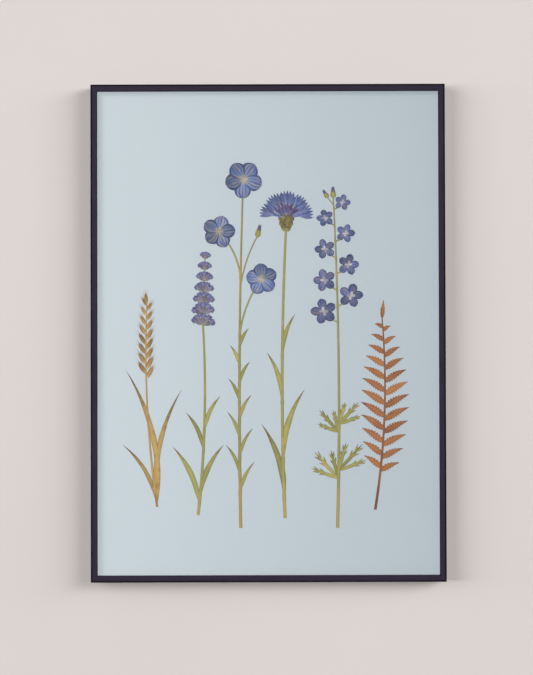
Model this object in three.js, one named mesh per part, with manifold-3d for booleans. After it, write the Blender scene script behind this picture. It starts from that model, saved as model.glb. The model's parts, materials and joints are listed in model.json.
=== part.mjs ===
// A pressed-flower picture for the wall, in a slim black frame.
// The frame hangs with its back on the wall: +X is right as seen from the room, +Z is up, +Y goes into
// the wall, and the origin is the middle of the back. All sizes are in millimetres.
import * as THREE from 'three';
import { mergeVertices } from 'three/addons/utils/BufferGeometryUtils.js';
import Module from 'manifold-3d';

const wasm = await Module();
wasm.setup();

// Driving dimensions of the frame, from the paper size outwards
const SHEET_WIDTH = 420;
const SHEET_HEIGHT = 594;
const SHEET_PLAY = 1; // between the edge of the sheets and the rebate, on each side
const FACE = 7.5; // width of a rail, seen from the room
const LIP = 2.5; // how far the rail's front reaches over the glass
const LIP_DEPTH = 6; // from the front of the rail to the glass
const DEPTH = 25; // from the front of the rail to the wall
const ARRIS = 0.6; // radius of the eased front edges
const GLUE_LINE = 0.1; // between two rails at a mitre, along the rail
const PIECE_GAP = 0.3; // between two pieces that meet end to end

// Thickness of what lies in the rebate, from the glass to the back
const GLASS_THICK = 2;
const SPACER_THICK = 2.5;
const SPACER_WIDTH = 2.2;
const SPACER_PLAY = 0.25; // between a spacer and the wall of the rebate
const MOUNT_THICK = 1.5;
const BOARD_THICK = 3;

// Depth of each plane, measured from the wall
const FRONT = -DEPTH;
const GLASS_FRONT = FRONT + LIP_DEPTH;
const SPACER_FRONT = GLASS_FRONT + GLASS_THICK;
const MOUNT_FRONT = SPACER_FRONT + SPACER_THICK;
const BOARD_FRONT = MOUNT_FRONT + MOUNT_THICK;
const BOARD_BACK = BOARD_FRONT + BOARD_THICK;

// Outlines of the frame that follow from the sheets
const WALL = FACE - LIP;
const REBATE_WIDTH = SHEET_WIDTH + 2 * SHEET_PLAY;
const REBATE_HEIGHT = SHEET_HEIGHT + 2 * SHEET_PLAY;
const OUTER_WIDTH = REBATE_WIDTH + 2 * WALL;
const OUTER_HEIGHT = REBATE_HEIGHT + 2 * WALL;

// Steel corner nails, driven across each mitre from behind
const NAIL_LEG = 2.9;
const NAIL_THICK = 0.6;
const NAIL_APEX = 3.9; // from the outer faces of both rails to the apex
const NAIL_TALL = 7;
const NAIL_SINK = 0.25; // below the back of the rails
const NAIL_POCKET_PLAY = 0.1;

// Swivel clips that hold the board, and the saw kerf their tips turn into
const KERF_DEEP = 1.5;
const KERF_WIDE = 2;
const KERF_FRONT = BOARD_BACK - 0.25;
const CLIP_THICK = 1;
const CLIP_LIFT = 0.25; // above the board, and below the head of its screw
const CLIP_REACH = 13; // from the screw to the tip
const CLIP_BITE = 1.2; // how far the tip enters the kerf
const CLIP_HEAD = 6; // radius of the round end, about the screw
const CLIP_TIP_ANGLE = THREE.MathUtils.degToRad(17); // half the angle that the tip spans
const CLIP_HEAD_ANGLE = THREE.MathUtils.degToRad(105); // where the round end meets the straight sides
const CLIP_HOLE = 1.8;
const CLIP_HEIGHTS = [-150, 150]; // clips on the upright rails, up and down from the middle

// Pan-head screws, with a cross recess
const SCREW_SHANK = 1.5;
const SCREW_HOLE = 1.6;
const SCREW_HEAD = 3.2;
const SCREW_HEAD_TALL = 1.5;
const SCREW_SUNK = 2.6; // length of shank in the board
const SCREW_HOLE_DEEP = 2.75;
const RECESS_LONG = 3.4;
const RECESS_WIDE = 0.7;
const RECESS_DEEP = 0.8;

// Hangers: a plate with a rolled knuckle, and a D-ring that swings in it
const HANGER_X = 140;
const HANGER_Z = 200; // height of the knuckle's axis
const PLATE_THICK = 1;
const PLATE_WIDE = 11;
const PLATE_LONG = 26; // from the knuckle's axis to the round end
const PLATE_SCREW_DROP = 20; // from the knuckle's axis to the screw
const PLATE_SCREW_PLAY = 0.05; // between the plate and the head of its screw
const KNUCKLE_OUTER = 2.4;
const KNUCKLE_BORE = 1.4;
const KNUCKLE_Y = BOARD_BACK + KNUCKLE_OUTER;
const RING_ROD = 1.1;
const RING_HALF = 8.1; // half the ring's width, to the middle of the rod
const RING_LEG = 5; // straight length between the bar and the bow

// The pressed plants: relief above the mount, and the least half width of a tip
const BLADE_TALL = 0.8;
const BLADE_TOP_SHARE = 0.8; // width of a blade's top, as a share of its foot on the mount
const STEM_TALL = 1;
const TIP_HALF = 0.3;
const CUTTER_FLOOR = -1;
const CUTTER_TALL = 4;

// Colours and finishes
const BLACK_PAINT = new THREE.MeshStandardMaterial({ color: 0x2b2731, roughness: 0.42, metalness: 0 });
const CLEAR_GLASS = new THREE.MeshStandardMaterial({
  color: 0xf2f7f7,
  roughness: 0.03,
  metalness: 0,
  transparent: true,
  opacity: 0.12,
});
const BLACK_CARD = new THREE.MeshStandardMaterial({ color: 0x26242a, roughness: 0.9, metalness: 0 });
const PALE_BLUE_PAPER = new THREE.MeshStandardMaterial({ color: 0xc6d3da, roughness: 0.92, metalness: 0 });
const BROWN_BOARD = new THREE.MeshStandardMaterial({ color: 0x8a6a4a, roughness: 0.85, metalness: 0 });
const BRIGHT_STEEL = new THREE.MeshStandardMaterial({ color: 0xb9babc, roughness: 0.35, metalness: 1 });
const BRASSED_STEEL = new THREE.MeshStandardMaterial({ color: 0xb99b5b, roughness: 0.35, metalness: 1 });
const VIOLET_BLUE = new THREE.MeshStandardMaterial({ color: 0x5d6798, roughness: 0.8, metalness: 0 });
const OLIVE_GREEN = new THREE.MeshStandardMaterial({ color: 0x94924f, roughness: 0.8, metalness: 0 });
const OCHRE = new THREE.MeshStandardMaterial({ color: 0xa5803f, roughness: 0.8, metalness: 0 });
const RUST = new THREE.MeshStandardMaterial({ color: 0xb4633a, roughness: 0.8, metalness: 0 });

const picture = new THREE.Group();

function addPiece(name, geometry, material, place = [0, 0, 0], turn = 0) {
  const piece = new THREE.Mesh(geometry, material);
  piece.name = name;
  piece.position.set(...place);
  piece.rotation.y = turn;
  picture.add(piece);
}

// Solids: a closed geometry becomes one, they are joined or cut, and the result becomes a geometry again
function solidOf(geometry) {
  const bare = geometry.clone();
  bare.deleteAttribute('normal');
  bare.deleteAttribute('uv');
  const merged = mergeVertices(bare, 1e-5);
  return new wasm.Manifold(new wasm.Mesh({
    numProp: 3,
    vertProperties: new Float32Array(merged.attributes.position.array),
    triVerts: new Uint32Array(merged.index.array),
  }));
}

function geometryOf(solid) {
  const mesh = solid.getMesh();
  const geometry = new THREE.BufferGeometry();
  geometry.setAttribute('position', new THREE.BufferAttribute(mesh.vertProperties, 3));
  geometry.setIndex(new THREE.BufferAttribute(mesh.triVerts, 1));
  geometry.computeVertexNormals();
  return geometry;
}

function joined(geometries) {
  return geometries.map(solidOf).reduce((whole, next) => whole.add(next));
}

function cut(geometry, tools) {
  return geometryOf(tools.map(solidOf).reduce((rest, tool) => rest.subtract(tool), solidOf(geometry)));
}

// The largest body of a solid, without the loose scraps that a cut can leave
function mainBody(solid) {
  return solid.decompose().sort((a, b) => b.volume() - a.volume())[0];
}

// A cylinder whose axis lies along Y, from one depth to another
function roundAlongY(radius, from, to, sides = 12) {
  const round = new THREE.CylinderGeometry(radius, radius, to - from, sides);
  return round.translate(0, (from + to) / 2, 0);
}

// An outline drawn in the plane of the wall, as thick as the space between two depths
function slabAlongY(outline, from, to, curveSegments = 8) {
  const slab = new THREE.ExtrudeGeometry(outline, { depth: to - from, bevelEnabled: false, curveSegments });
  return slab.rotateX(Math.PI / 2).translate(0, to, 0);
}

// Frame rails. The section is drawn with X inwards from the outer face and Y as the depth.
function railSection() {
  const section = new THREE.Shape();
  section.moveTo(0, 0);
  section.lineTo(0, FRONT + ARRIS);
  section.absarc(ARRIS, FRONT + ARRIS, ARRIS, Math.PI, 1.5 * Math.PI, false);
  section.lineTo(FACE - ARRIS, FRONT);
  section.absarc(FACE - ARRIS, FRONT + ARRIS, ARRIS, -0.5 * Math.PI, 0, false);
  section.lineTo(FACE, GLASS_FRONT);
  section.lineTo(WALL, GLASS_FRONT);
  section.lineTo(WALL, KERF_FRONT);
  section.lineTo(WALL - KERF_DEEP, KERF_FRONT);
  section.lineTo(WALL - KERF_DEEP, KERF_FRONT + KERF_WIDE);
  section.lineTo(WALL, KERF_FRONT + KERF_WIDE);
  section.lineTo(WALL, 0);
  return section;
}

// A rail as the bottom one lies. Each point of the section runs as far as the mitre lets it.
function mitredBar(length, halfSpan) {
  const bar = new THREE.ExtrudeGeometry(railSection(), { depth: 1, bevelEnabled: false, curveSegments: 4 });
  const points = bar.attributes.position;
  for (let i = 0; i < points.count; i += 1) {
    const inward = points.getX(i);
    const run = length - 2 * inward - GLUE_LINE;
    points.setXYZ(i, (0.5 - points.getZ(i)) * run, points.getY(i), inward - halfSpan);
  }
  return bar;
}

// A corner nail, in a corner whose outer faces lie on X = 0 and Z = 0
function cornerNail(play) {
  const near = NAIL_APEX - NAIL_THICK / 2 - play;
  const far = NAIL_APEX + NAIL_THICK / 2 + play;
  const end = NAIL_APEX - NAIL_LEG - play;
  const chevron = new THREE.Shape([
    new THREE.Vector2(end, near),
    new THREE.Vector2(near, near),
    new THREE.Vector2(near, end),
    new THREE.Vector2(far, end),
    new THREE.Vector2(far, far),
    new THREE.Vector2(end, far),
  ]);
  const top = play > 0 ? 1 : -NAIL_SINK;
  return slabAlongY(chevron, -NAIL_SINK - NAIL_TALL - play, top);
}

function rail(length, halfSpan) {
  const start = cornerNail(NAIL_POCKET_PLAY).translate(-length / 2, 0, -halfSpan);
  const end = cornerNail(NAIL_POCKET_PLAY).rotateY(-Math.PI / 2).translate(length / 2, 0, -halfSpan);
  return cut(mitredBar(length, halfSpan), [start, end]);
}

function addFrame() {
  const sides = [
    ['rail_bottom', OUTER_WIDTH, OUTER_HEIGHT],
    ['rail_left', OUTER_HEIGHT, OUTER_WIDTH],
    ['rail_top', OUTER_WIDTH, OUTER_HEIGHT],
    ['rail_right', OUTER_HEIGHT, OUTER_WIDTH],
  ];
  sides.forEach(([name, length, span], quarter) => {
    addPiece(name, rail(length, span / 2), BLACK_PAINT, [0, 0, 0], quarter * Math.PI / 2);
  });
  const x = OUTER_WIDTH / 2;
  const z = OUTER_HEIGHT / 2;
  const corners = [[-x, -z], [x, -z], [x, z], [-x, z]];
  corners.forEach(([cornerX, cornerZ], i) => {
    const place = [cornerX, 0, cornerZ];
    addPiece(`corner_nail_${i + 1}`, cornerNail(0), BRIGHT_STEEL, place, -i * Math.PI / 2);
  });
}

// What lies in the rebate: glass, spacers, the mount that carries the plants, and the backing board
function sheet(thick) {
  return new THREE.BoxGeometry(SHEET_WIDTH, thick, SHEET_HEIGHT);
}

function addSpacers() {
  const outerX = REBATE_WIDTH / 2 - SPACER_PLAY;
  const outerZ = REBATE_HEIGHT / 2 - SPACER_PLAY;
  const depth = SPACER_FRONT + SPACER_THICK / 2;
  const middleX = outerX - SPACER_WIDTH / 2;
  const middleZ = outerZ - SPACER_WIDTH / 2;
  const lying = new THREE.BoxGeometry(2 * outerX, SPACER_THICK, SPACER_WIDTH);
  const upright = new THREE.BoxGeometry(SPACER_WIDTH, SPACER_THICK, 2 * (outerZ - SPACER_WIDTH - PIECE_GAP));
  addPiece('spacer_bottom', lying, BLACK_CARD, [0, depth, -middleZ]);
  addPiece('spacer_top', lying, BLACK_CARD, [0, depth, middleZ]);
  addPiece('spacer_left', upright, BLACK_CARD, [-middleX, depth, 0]);
  addPiece('spacer_right', upright, BLACK_CARD, [middleX, depth, 0]);
}

// Where each clip turns, and how far it is turned from pointing right
function clipPlaces() {
  const x = REBATE_WIDTH / 2 + CLIP_BITE - CLIP_REACH;
  const z = REBATE_HEIGHT / 2 + CLIP_BITE - CLIP_REACH;
  return [
    ...CLIP_HEIGHTS.map((height) => ({ x: -x, z: height, turn: Math.PI })),
    ...CLIP_HEIGHTS.map((height) => ({ x, z: height, turn: 0 })),
    { x: 0, z, turn: -Math.PI / 2 },
    { x: 0, z: -z, turn: Math.PI / 2 },
  ];
}

function hangerPlaces() {
  return [-HANGER_X, HANGER_X].map((x) => ({ x, z: HANGER_Z }));
}

function backingBoard() {
  const holes = [
    ...clipPlaces(),
    ...hangerPlaces().map(({ x, z }) => ({ x, z: z - PLATE_SCREW_DROP })),
  ].map(({ x, z }) => {
    const hole = roundAlongY(SCREW_HOLE, BOARD_BACK - SCREW_HOLE_DEEP, BOARD_BACK + 1);
    return hole.translate(x, 0, z);
  });
  const board = sheet(BOARD_THICK).translate(0, BOARD_FRONT + BOARD_THICK / 2, 0);
  return cut(board, holes);
}

// A screw whose head bears at the given depth
function screw(bearing) {
  const profile = [
    [0, BOARD_BACK - SCREW_SUNK],
    [SCREW_SHANK, BOARD_BACK - SCREW_SUNK + SCREW_SHANK / 2],
    [SCREW_SHANK, bearing],
    [SCREW_HEAD, bearing],
    [SCREW_HEAD, bearing + SCREW_HEAD_TALL / 2],
    [SCREW_HEAD * 0.7, bearing + SCREW_HEAD_TALL],
    [0, bearing + SCREW_HEAD_TALL],
  ].map(([radius, depth]) => new THREE.Vector2(radius, depth));
  const floor = bearing + SCREW_HEAD_TALL - RECESS_DEEP / 2;
  const slots = [0, Math.PI / 2].map((turn) => {
    const slot = new THREE.BoxGeometry(RECESS_LONG, 2 * RECESS_DEEP, RECESS_WIDE);
    return slot.rotateY(turn).translate(0, floor + RECESS_DEEP / 2, 0);
  });
  return cut(new THREE.LatheGeometry(profile, 12), slots);
}

// A swivel clip with its screw at the origin and its tip to the right
function clip() {
  const outline = new THREE.Shape();
  outline.absarc(0, 0, CLIP_REACH, -CLIP_TIP_ANGLE, CLIP_TIP_ANGLE, false);
  outline.absarc(0, 0, CLIP_HEAD, CLIP_HEAD_ANGLE, 2 * Math.PI - CLIP_HEAD_ANGLE, false);
  const hole = new THREE.Path();
  hole.absarc(0, 0, CLIP_HOLE, 0, 2 * Math.PI, true);
  outline.holes.push(hole);
  const front = BOARD_BACK + CLIP_LIFT;
  return slabAlongY(outline, front, front + CLIP_THICK, 6);
}

function addClips() {
  clipPlaces().forEach(({ x, z, turn }, i) => {
    addPiece(`clip_${i + 1}`, clip(), BRASSED_STEEL, [x, 0, z], turn);
    const bearing = BOARD_BACK + 2 * CLIP_LIFT + CLIP_THICK;
    addPiece(`clip_screw_${i + 1}`, screw(bearing), BRASSED_STEEL, [x, 0, z]);
  });
}

// A hanger plate, with the knuckle's axis along X through the origin of X and Z
function hangerPlate() {
  const half = PLATE_WIDE / 2;
  const outline = new THREE.Shape();
  outline.moveTo(half, 0);
  outline.lineTo(-half, 0);
  outline.lineTo(-half, half - PLATE_LONG);
  outline.absarc(0, half - PLATE_LONG, half, Math.PI, 2 * Math.PI, false);
  const plate = slabAlongY(outline, BOARD_BACK, BOARD_BACK + PLATE_THICK);
  const alongX = (radius, length) => new THREE.CylinderGeometry(radius, radius, length, 16)
    .rotateZ(Math.PI / 2)
    .translate(0, KNUCKLE_Y, 0);
  const hole = roundAlongY(SCREW_HOLE, BOARD_BACK - 1, BOARD_BACK + PLATE_THICK + 1)
    .translate(0, 0, -PLATE_SCREW_DROP);
  const solid = joined([plate, alongX(KNUCKLE_OUTER, PLATE_WIDE)]);
  return cut(geometryOf(solid), [alongX(KNUCKLE_BORE, PLATE_WIDE + 2), hole]);
}

// A D-ring hanging from its bar, which lies along X through the knuckle
function dRing() {
  const path = new THREE.CurvePath();
  const corner = (x, z) => new THREE.Vector3(x, KNUCKLE_Y, z);
  path.add(new THREE.LineCurve3(corner(-RING_HALF, 0), corner(-RING_HALF, -RING_LEG)));
  const bow = new THREE.CatmullRomCurve3(Array.from({ length: 9 }, (_, i) => {
    const angle = Math.PI * (1 + i / 8);
    return corner(RING_HALF * Math.cos(angle), RING_HALF * Math.sin(angle) - RING_LEG);
  }));
  path.add(bow);
  path.add(new THREE.LineCurve3(corner(RING_HALF, -RING_LEG), corner(RING_HALF, 0)));
  const round = new THREE.Shape();
  round.absarc(0, 0, RING_ROD, 0, 2 * Math.PI, false);
  const hoop = new THREE.ExtrudeGeometry(round, { steps: 20, extrudePath: path, curveSegments: 4 });
  const bar = new THREE.CylinderGeometry(RING_ROD, RING_ROD, 2 * RING_HALF, 8)
    .rotateZ(Math.PI / 2)
    .translate(0, KNUCKLE_Y, 0);
  const shoulders = [-RING_HALF, RING_HALF].map((x) => (
    new THREE.SphereGeometry(RING_ROD, 8, 4).translate(x, KNUCKLE_Y, 0)
  ));
  return geometryOf(joined([hoop, bar, ...shoulders]));
}

function addHangers() {
  hangerPlaces().forEach(({ x, z }, i) => {
    addPiece(`hanger_plate_${i + 1}`, hangerPlate(), BRIGHT_STEEL, [x, 0, z]);
    addPiece(`hanger_ring_${i + 1}`, dRing(), BRIGHT_STEEL, [x, 0, z]);
    const bearing = BOARD_BACK + PLATE_THICK + PLATE_SCREW_PLAY;
    addPiece(`hanger_screw_${i + 1}`, screw(bearing), BRIGHT_STEEL, [x, 0, z - PLATE_SCREW_DROP]);
  });
}

// Pressed plants are drawn on the mount: X right and Y up from its middle, Z out towards the glass.
const at = (x, y) => new THREE.Vector2(x, y);

function polar(centre, angle, radius) {
  return at(centre.x + radius * Math.cos(angle), centre.y + radius * Math.sin(angle));
}

const degrees = (angle) => THREE.MathUtils.degToRad(angle);

// A gentle arch from one point to another: a positive bow bends it to the left of its way
function arch(start, end, bow = 0) {
  const way = end.clone().sub(start);
  const left = at(-way.y, way.x).normalize();
  const middle = start.clone().add(end).multiplyScalar(0.5).addScaledVector(left, 2 * bow);
  return new THREE.QuadraticBezierCurve(start, middle, end);
}

// A closed ribbon along a spine. Its section at each step is a ring of points: left of the spine, and up.
function ribbon(spine, steps, sectionAt, stretch = 0) {
  const rings = [];
  for (let i = 0; i <= steps; i += 1) {
    const share = i / steps;
    const way = spine.getTangent(share);
    const reach = stretch * ((i === steps) - (i === 0));
    const point = spine.getPoint(share).addScaledVector(way, reach);
    rings.push(sectionAt(share).map(([left, up]) => [point.x - way.y * left, point.y + way.x * left, up]));
  }
  const sides = rings[0].length;
  const index = [];
  for (let i = 0; i < steps; i += 1) {
    for (let j = 0; j < sides; j += 1) {
      const next = (j + 1) % sides;
      const [a, b] = [i * sides + j, i * sides + next];
      const [c, d] = [b + sides, a + sides];
      index.push(a, b, c, a, c, d);
    }
  }
  const last = steps * sides;
  for (let j = 1; j < sides - 1; j += 1) {
    index.push(0, j + 1, j, last, last + j, last + j + 1);
  }
  const geometry = new THREE.BufferGeometry();
  geometry.setAttribute('position', new THREE.Float32BufferAttribute(rings.flat(2), 3));
  geometry.setIndex(index);
  return geometry;
}

// A blade has a flat top with sloping edges. With a play it becomes the upright cutter that leaves room
// for that blade in another piece.
function blade(spine, steps, halfWidth, play = 0) {
  const floor = play > 0 ? CUTTER_FLOOR : 0;
  const top = play > 0 ? CUTTER_TALL : BLADE_TALL;
  return ribbon(spine, steps, (share) => {
    const half = Math.max(halfWidth(share), TIP_HALF) + play;
    const upper = play > 0 ? half : half * BLADE_TOP_SHARE;
    return [[-half, floor], [half, floor], [upper, top], [-upper, top]];
  }, play);
}

function stem(spine, steps, thickAtFoot, thickAtTip) {
  return ribbon(spine, steps, (share) => {
    const half = (thickAtFoot + (thickAtTip - thickAtFoot) * share) / 2;
    return [[-half, 0], [half, 0], [half * 0.6, STEM_TALL], [-half * 0.6, STEM_TALL]];
  });
}

// Half widths along a blade, from its foot at 0 to its tip at 1
const lance = (widest, fullAt = 0.4) => (share) => (
  widest * Math.sin(Math.PI * share ** (Math.log(0.5) / Math.log(fullAt))) ** 0.9
);

function leaf(foot, angle, length, widest, bow, steps = 6) {
  return blade(arch(foot, polar(foot, angle, length), bow), steps, lance(widest));
}

// Leaves that spring from a stem at a share of its length, to its right or left, and arch outwards
function leavesOn(spine, spread, leaves) {
  return leaves.map(({ share, right, long, wide }) => {
    const side = right ? 1 : -1;
    const angle = degrees(90 - side * spread);
    return leaf(spine.getPoint(share), angle, long, wide, side * long * 0.08, long > 60 ? 7 : 5);
  });
}

function petal(foot, angle, length, widest, fullAt, play = 0, steps = 4) {
  return blade(arch(foot, polar(foot, angle, length)), steps, lance(widest, fullAt), play);
}

function onMount(geometry) {
  return geometry.rotateX(Math.PI / 2);
}

function addPlant(name, solid, material) {
  addPiece(name, onMount(geometryOf(mainBody(solid))), material, [0, MOUNT_FRONT, 0]);
}

function cutBack(solid, cutters) {
  return cutters.map(solidOf).reduce((rest, cutter) => rest.subtract(cutter), solid);
}

// Five rounded petals about a centre, with the first one pointing at the given angle
function openFlower(centre, radius, angle, fullness, play = 0) {
  return [0, 1, 2, 3, 4].map((i) => (
    petal(centre, angle + i * degrees(72), radius, radius * fullness, 0.6, play)
  ));
}

// Lavender: florets in rings up a spike
const LAVENDER_FOOT = at(-86, -222);
const LAVENDER_NECK = at(-80, 6);
const LAVENDER_BOW = -5;
const LAVENDER_LEAN = degrees(88);
const LAVENDER_RINGS = 7;
const LAVENDER_RING_STEP = 13.5;
const LAVENDER_SPREAD = [-64, -32, 2, 34, 64];
const LAVENDER_LEAVES = [
  { share: 0.06, right: false, long: 76, wide: 3.4 },
  { share: 0.1, right: true, long: 68, wide: 3.2 },
  { share: 0.34, right: false, long: 50, wide: 2.7 },
  { share: 0.44, right: true, long: 46, wide: 2.6 },
];

function lavenderFlorets(play) {
  return Array.from({ length: LAVENDER_RINGS }, (_, ring) => {
    const size = 1 - 0.4 * (ring / (LAVENDER_RINGS - 1)) ** 1.6;
    const centre = polar(LAVENDER_NECK, LAVENDER_LEAN, 3 + ring * LAVENDER_RING_STEP);
    return LAVENDER_SPREAD.map((spread) => {
      const angle = LAVENDER_LEAN + degrees(spread * size + 5 * (ring % 2) - 3);
      return petal(centre, angle, 17 * size, 3.4 * size, 0.6, play, 3);
    });
  }).flat();
}

function addLavender() {
  const axis = arch(LAVENDER_FOOT, polar(LAVENDER_NECK, LAVENDER_LEAN, 6), LAVENDER_BOW);
  const green = joined([stem(axis, 10, 3.6, 2.4), ...leavesOn(axis, 25, LAVENDER_LEAVES)]);
  addPlant('lavender_stem', cutBack(green, lavenderFlorets(PIECE_GAP)), OLIVE_GREEN);
  addPlant('lavender_spike', joined(lavenderFlorets(0)), VIOLET_BLUE);
}

// Flax: a slender branched stem with an open flower at the end of each branch
const FLAX_FOOT = at(-34, -238);
const FLAX_BOW = 3;
const FLAX_FLOWERS = [
  { centre: at(-30, 188), radius: 24, angle: degrees(-92) },
  { centre: at(-60, 124), radius: 21, angle: degrees(-66) },
  { centre: at(-8, 66), radius: 20, angle: degrees(-118) },
];
const FLAX_FULLNESS = 0.44; // half width of a petal, as a share of its length
const FLAX_FORKS = [0.72, 0.55]; // share of the stem where each side branch leaves it
const FLAX_BUD_FORK = 0.69;
const FLAX_BUD = at(-13, 118);
const FLAX_LEAVES = 9;

function addFlax() {
  const [top, ...side] = FLAX_FLOWERS;
  const axis = arch(FLAX_FOOT, top.centre, FLAX_BOW);
  const branches = side.map(({ centre }, i) => {
    const bow = i % 2 ? 5 : -5;
    return stem(arch(axis.getPoint(FLAX_FORKS[i]), centre, bow), 6, 2.4, 1.8);
  });
  const leaves = leavesOn(axis, 25, Array.from({ length: FLAX_LEAVES }, (_, i) => (
    { share: 0.1 + 0.052 * i, right: i % 2 === 0, long: 42 - 2 * i, wide: 2.2 }
  )));
  const bud = [
    stem(arch(axis.getPoint(FLAX_BUD_FORK), FLAX_BUD, 3), 4, 1.8, 1.5),
    petal(polar(FLAX_BUD, degrees(76), -2), degrees(76), 14, 3.4, 0.5),
  ];
  const green = joined([stem(axis, 14, 3.8, 2), ...branches, ...leaves, ...bud]);
  const cutters = FLAX_FLOWERS.flatMap(({ centre, radius, angle }) => (
    openFlower(centre, radius, angle, FLAX_FULLNESS, PIECE_GAP)
  ));
  addPlant('flax_stem', cutBack(green, cutters), OLIVE_GREEN);
  FLAX_FLOWERS.forEach(({ centre, radius, angle }, i) => {
    const flower = joined(openFlower(centre, radius, angle, FLAX_FULLNESS));
    addPlant(`flax_flower_${i + 1}`, flower, VIOLET_BLUE);
  });
}

// Cornflower: a scaly green cup with toothed trumpets fanned out above it
const CORN_FOOT = at(20, -226);
const CORN_CUP = at(22, 126);
const CORN_BOW = 4;
const CORN_LEAN = degrees(88);
const CORN_CUP_LONG = 21;
const CORN_MOUTH = 14; // from the foot of the cup to where the trumpets spring from
const CORN_RAYS = 9;
const CORN_RAY_LONG = 34;
const CORN_RAY_SPAN = degrees(146);
const CORN_TEETH = 5;
const CORN_INNER = 7;
const CORN_SCALE_ROWS = [5, 4];
const CORN_SCALE_STEP = 3.1;
const CORN_LEAVES = [
  { share: 0.07, right: false, long: 94, wide: 3.8 },
  { share: 0.2, right: true, long: 90, wide: 3.6 },
  { share: 0.4, right: false, long: 64, wide: 3 },
  { share: 0.56, right: true, long: 54, wide: 2.7 },
];

// A toothed trumpet: a narrow tube that opens into a fan of teeth
function trumpet(foot, angle, long, thick) {
  const outline = [[0, -1.1], [0.5 * long, -1.7]];
  for (let i = 0; i < CORN_TEETH; i += 1) {
    const share = i / (CORN_TEETH - 1) - 0.5;
    outline.push([long * (1 - 0.25 * share ** 2), share * long * 0.52]);
    if (i < CORN_TEETH - 1) {
      const notch = share + 0.5 / (CORN_TEETH - 1);
      outline.push([long * 0.8, notch * long * 0.4]);
    }
  }
  outline.push([0.5 * long, 1.7], [0, 1.1]);
  const shape = new THREE.Shape(outline.map(([along, left]) => at(along, left)));
  const flat = new THREE.ExtrudeGeometry(shape, { depth: thick, bevelEnabled: false });
  return flat.rotateZ(angle).translate(foot.x, foot.y, 0);
}

function cornCup(play) {
  const foot = polar(CORN_CUP, CORN_LEAN, -2);
  return blade(arch(foot, polar(foot, CORN_LEAN, CORN_CUP_LONG)), 6, (share) => (
    3.4 + 5 * Math.sin(Math.PI * (0.12 + 0.7 * share))
  ), play);
}

// Scales lie on the cup, in rows that overlap like tiles
function cornScales() {
  return CORN_SCALE_ROWS.flatMap((count, row) => Array.from({ length: count }, (_, i) => {
    const across = (i - (count - 1) / 2) * CORN_SCALE_STEP;
    const foot = polar(polar(CORN_CUP, CORN_LEAN, 1 + 6 * row), CORN_LEAN - Math.PI / 2, across);
    return petal(foot, CORN_LEAN, 8, 1.7, 0.45, 0, 3).translate(0, 0, BLADE_TALL / 2);
  }));
}

function addCornflower() {
  const axis = arch(CORN_FOOT, CORN_CUP, CORN_BOW);
  const leaves = leavesOn(axis, 17, CORN_LEAVES);
  const green = joined([stem(axis, 12, 4, 2.8), ...leaves, cornCup(0), ...cornScales()]);
  addPlant('cornflower_stem', green, OLIVE_GREEN);
  const mouth = polar(CORN_CUP, CORN_LEAN, CORN_MOUTH);
  const rays = Array.from({ length: CORN_RAYS }, (_, i) => {
    const angle = CORN_LEAN + CORN_RAY_SPAN * (i / (CORN_RAYS - 1) - 0.5);
    return trumpet(mouth, angle, CORN_RAY_LONG * (i % 2 ? 0.9 : 1), i % 2 ? 1 : 0.7);
  });
  const inner = Array.from({ length: CORN_INNER }, (_, i) => {
    const angle = CORN_LEAN + degrees(15 * (i - (CORN_INNER - 1) / 2));
    return petal(mouth, angle, i % 2 ? 16 : 19, 1.7, 0.7, 0, 3).translate(0, 0, BLADE_TALL / 2);
  });
  addPlant('cornflower_bloom', cutBack(joined([...rays, ...inner]), [cornCup(PIECE_GAP)]), VIOLET_BLUE);
}

// Larkspur: flowers on short stalks, left and right in turn, smaller towards the top
const LARK_FOOT = at(84, -238);
const LARK_TOP = at(80, 166);
const LARK_BOW = -4;
const LARK_FLOWERS = 8;
const LARK_FULLNESS = 0.34;
const LARK_FIRST = 0.62; // share of the stem where the lowest flower springs from it
const LARK_STEP = 0.049;
const LARK_LEAF_SHARES = [0.16, 0.3];
const LARK_LOBES = [-27, 0, 27];

const larkAxis = arch(LARK_FOOT, LARK_TOP, LARK_BOW);

function larkFlowerPlaces() {
  return Array.from({ length: LARK_FLOWERS }, (_, i) => {
    const size = 1 - 0.055 * i;
    const node = larkAxis.getPoint(LARK_FIRST + LARK_STEP * i);
    const side = i % 2 ? 1 : -1;
    const angle = degrees(90 - side * 52);
    return { node, side, angle, radius: 16.5 * size, centre: polar(node, angle, 22 * size) };
  });
}

function larkFlower({ centre, radius, angle }, play = 0) {
  return openFlower(centre, radius, angle + Math.PI, LARK_FULLNESS, play);
}

// A larkspur leaf is cut into narrow lobes that fan out from its foot
function larkLeaves() {
  return LARK_LEAF_SHARES.flatMap((share, tier) => [-1, 1].flatMap((side) => {
    const foot = larkAxis.getPoint(share + 0.012 * side);
    return LARK_LOBES.map((spread) => {
      const long = 44 - 8 * tier - Math.abs(spread) * 0.3;
      return leaf(foot, degrees(90 - side * 42 + spread), long, 2.2, 0, 4);
    });
  }));
}

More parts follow.
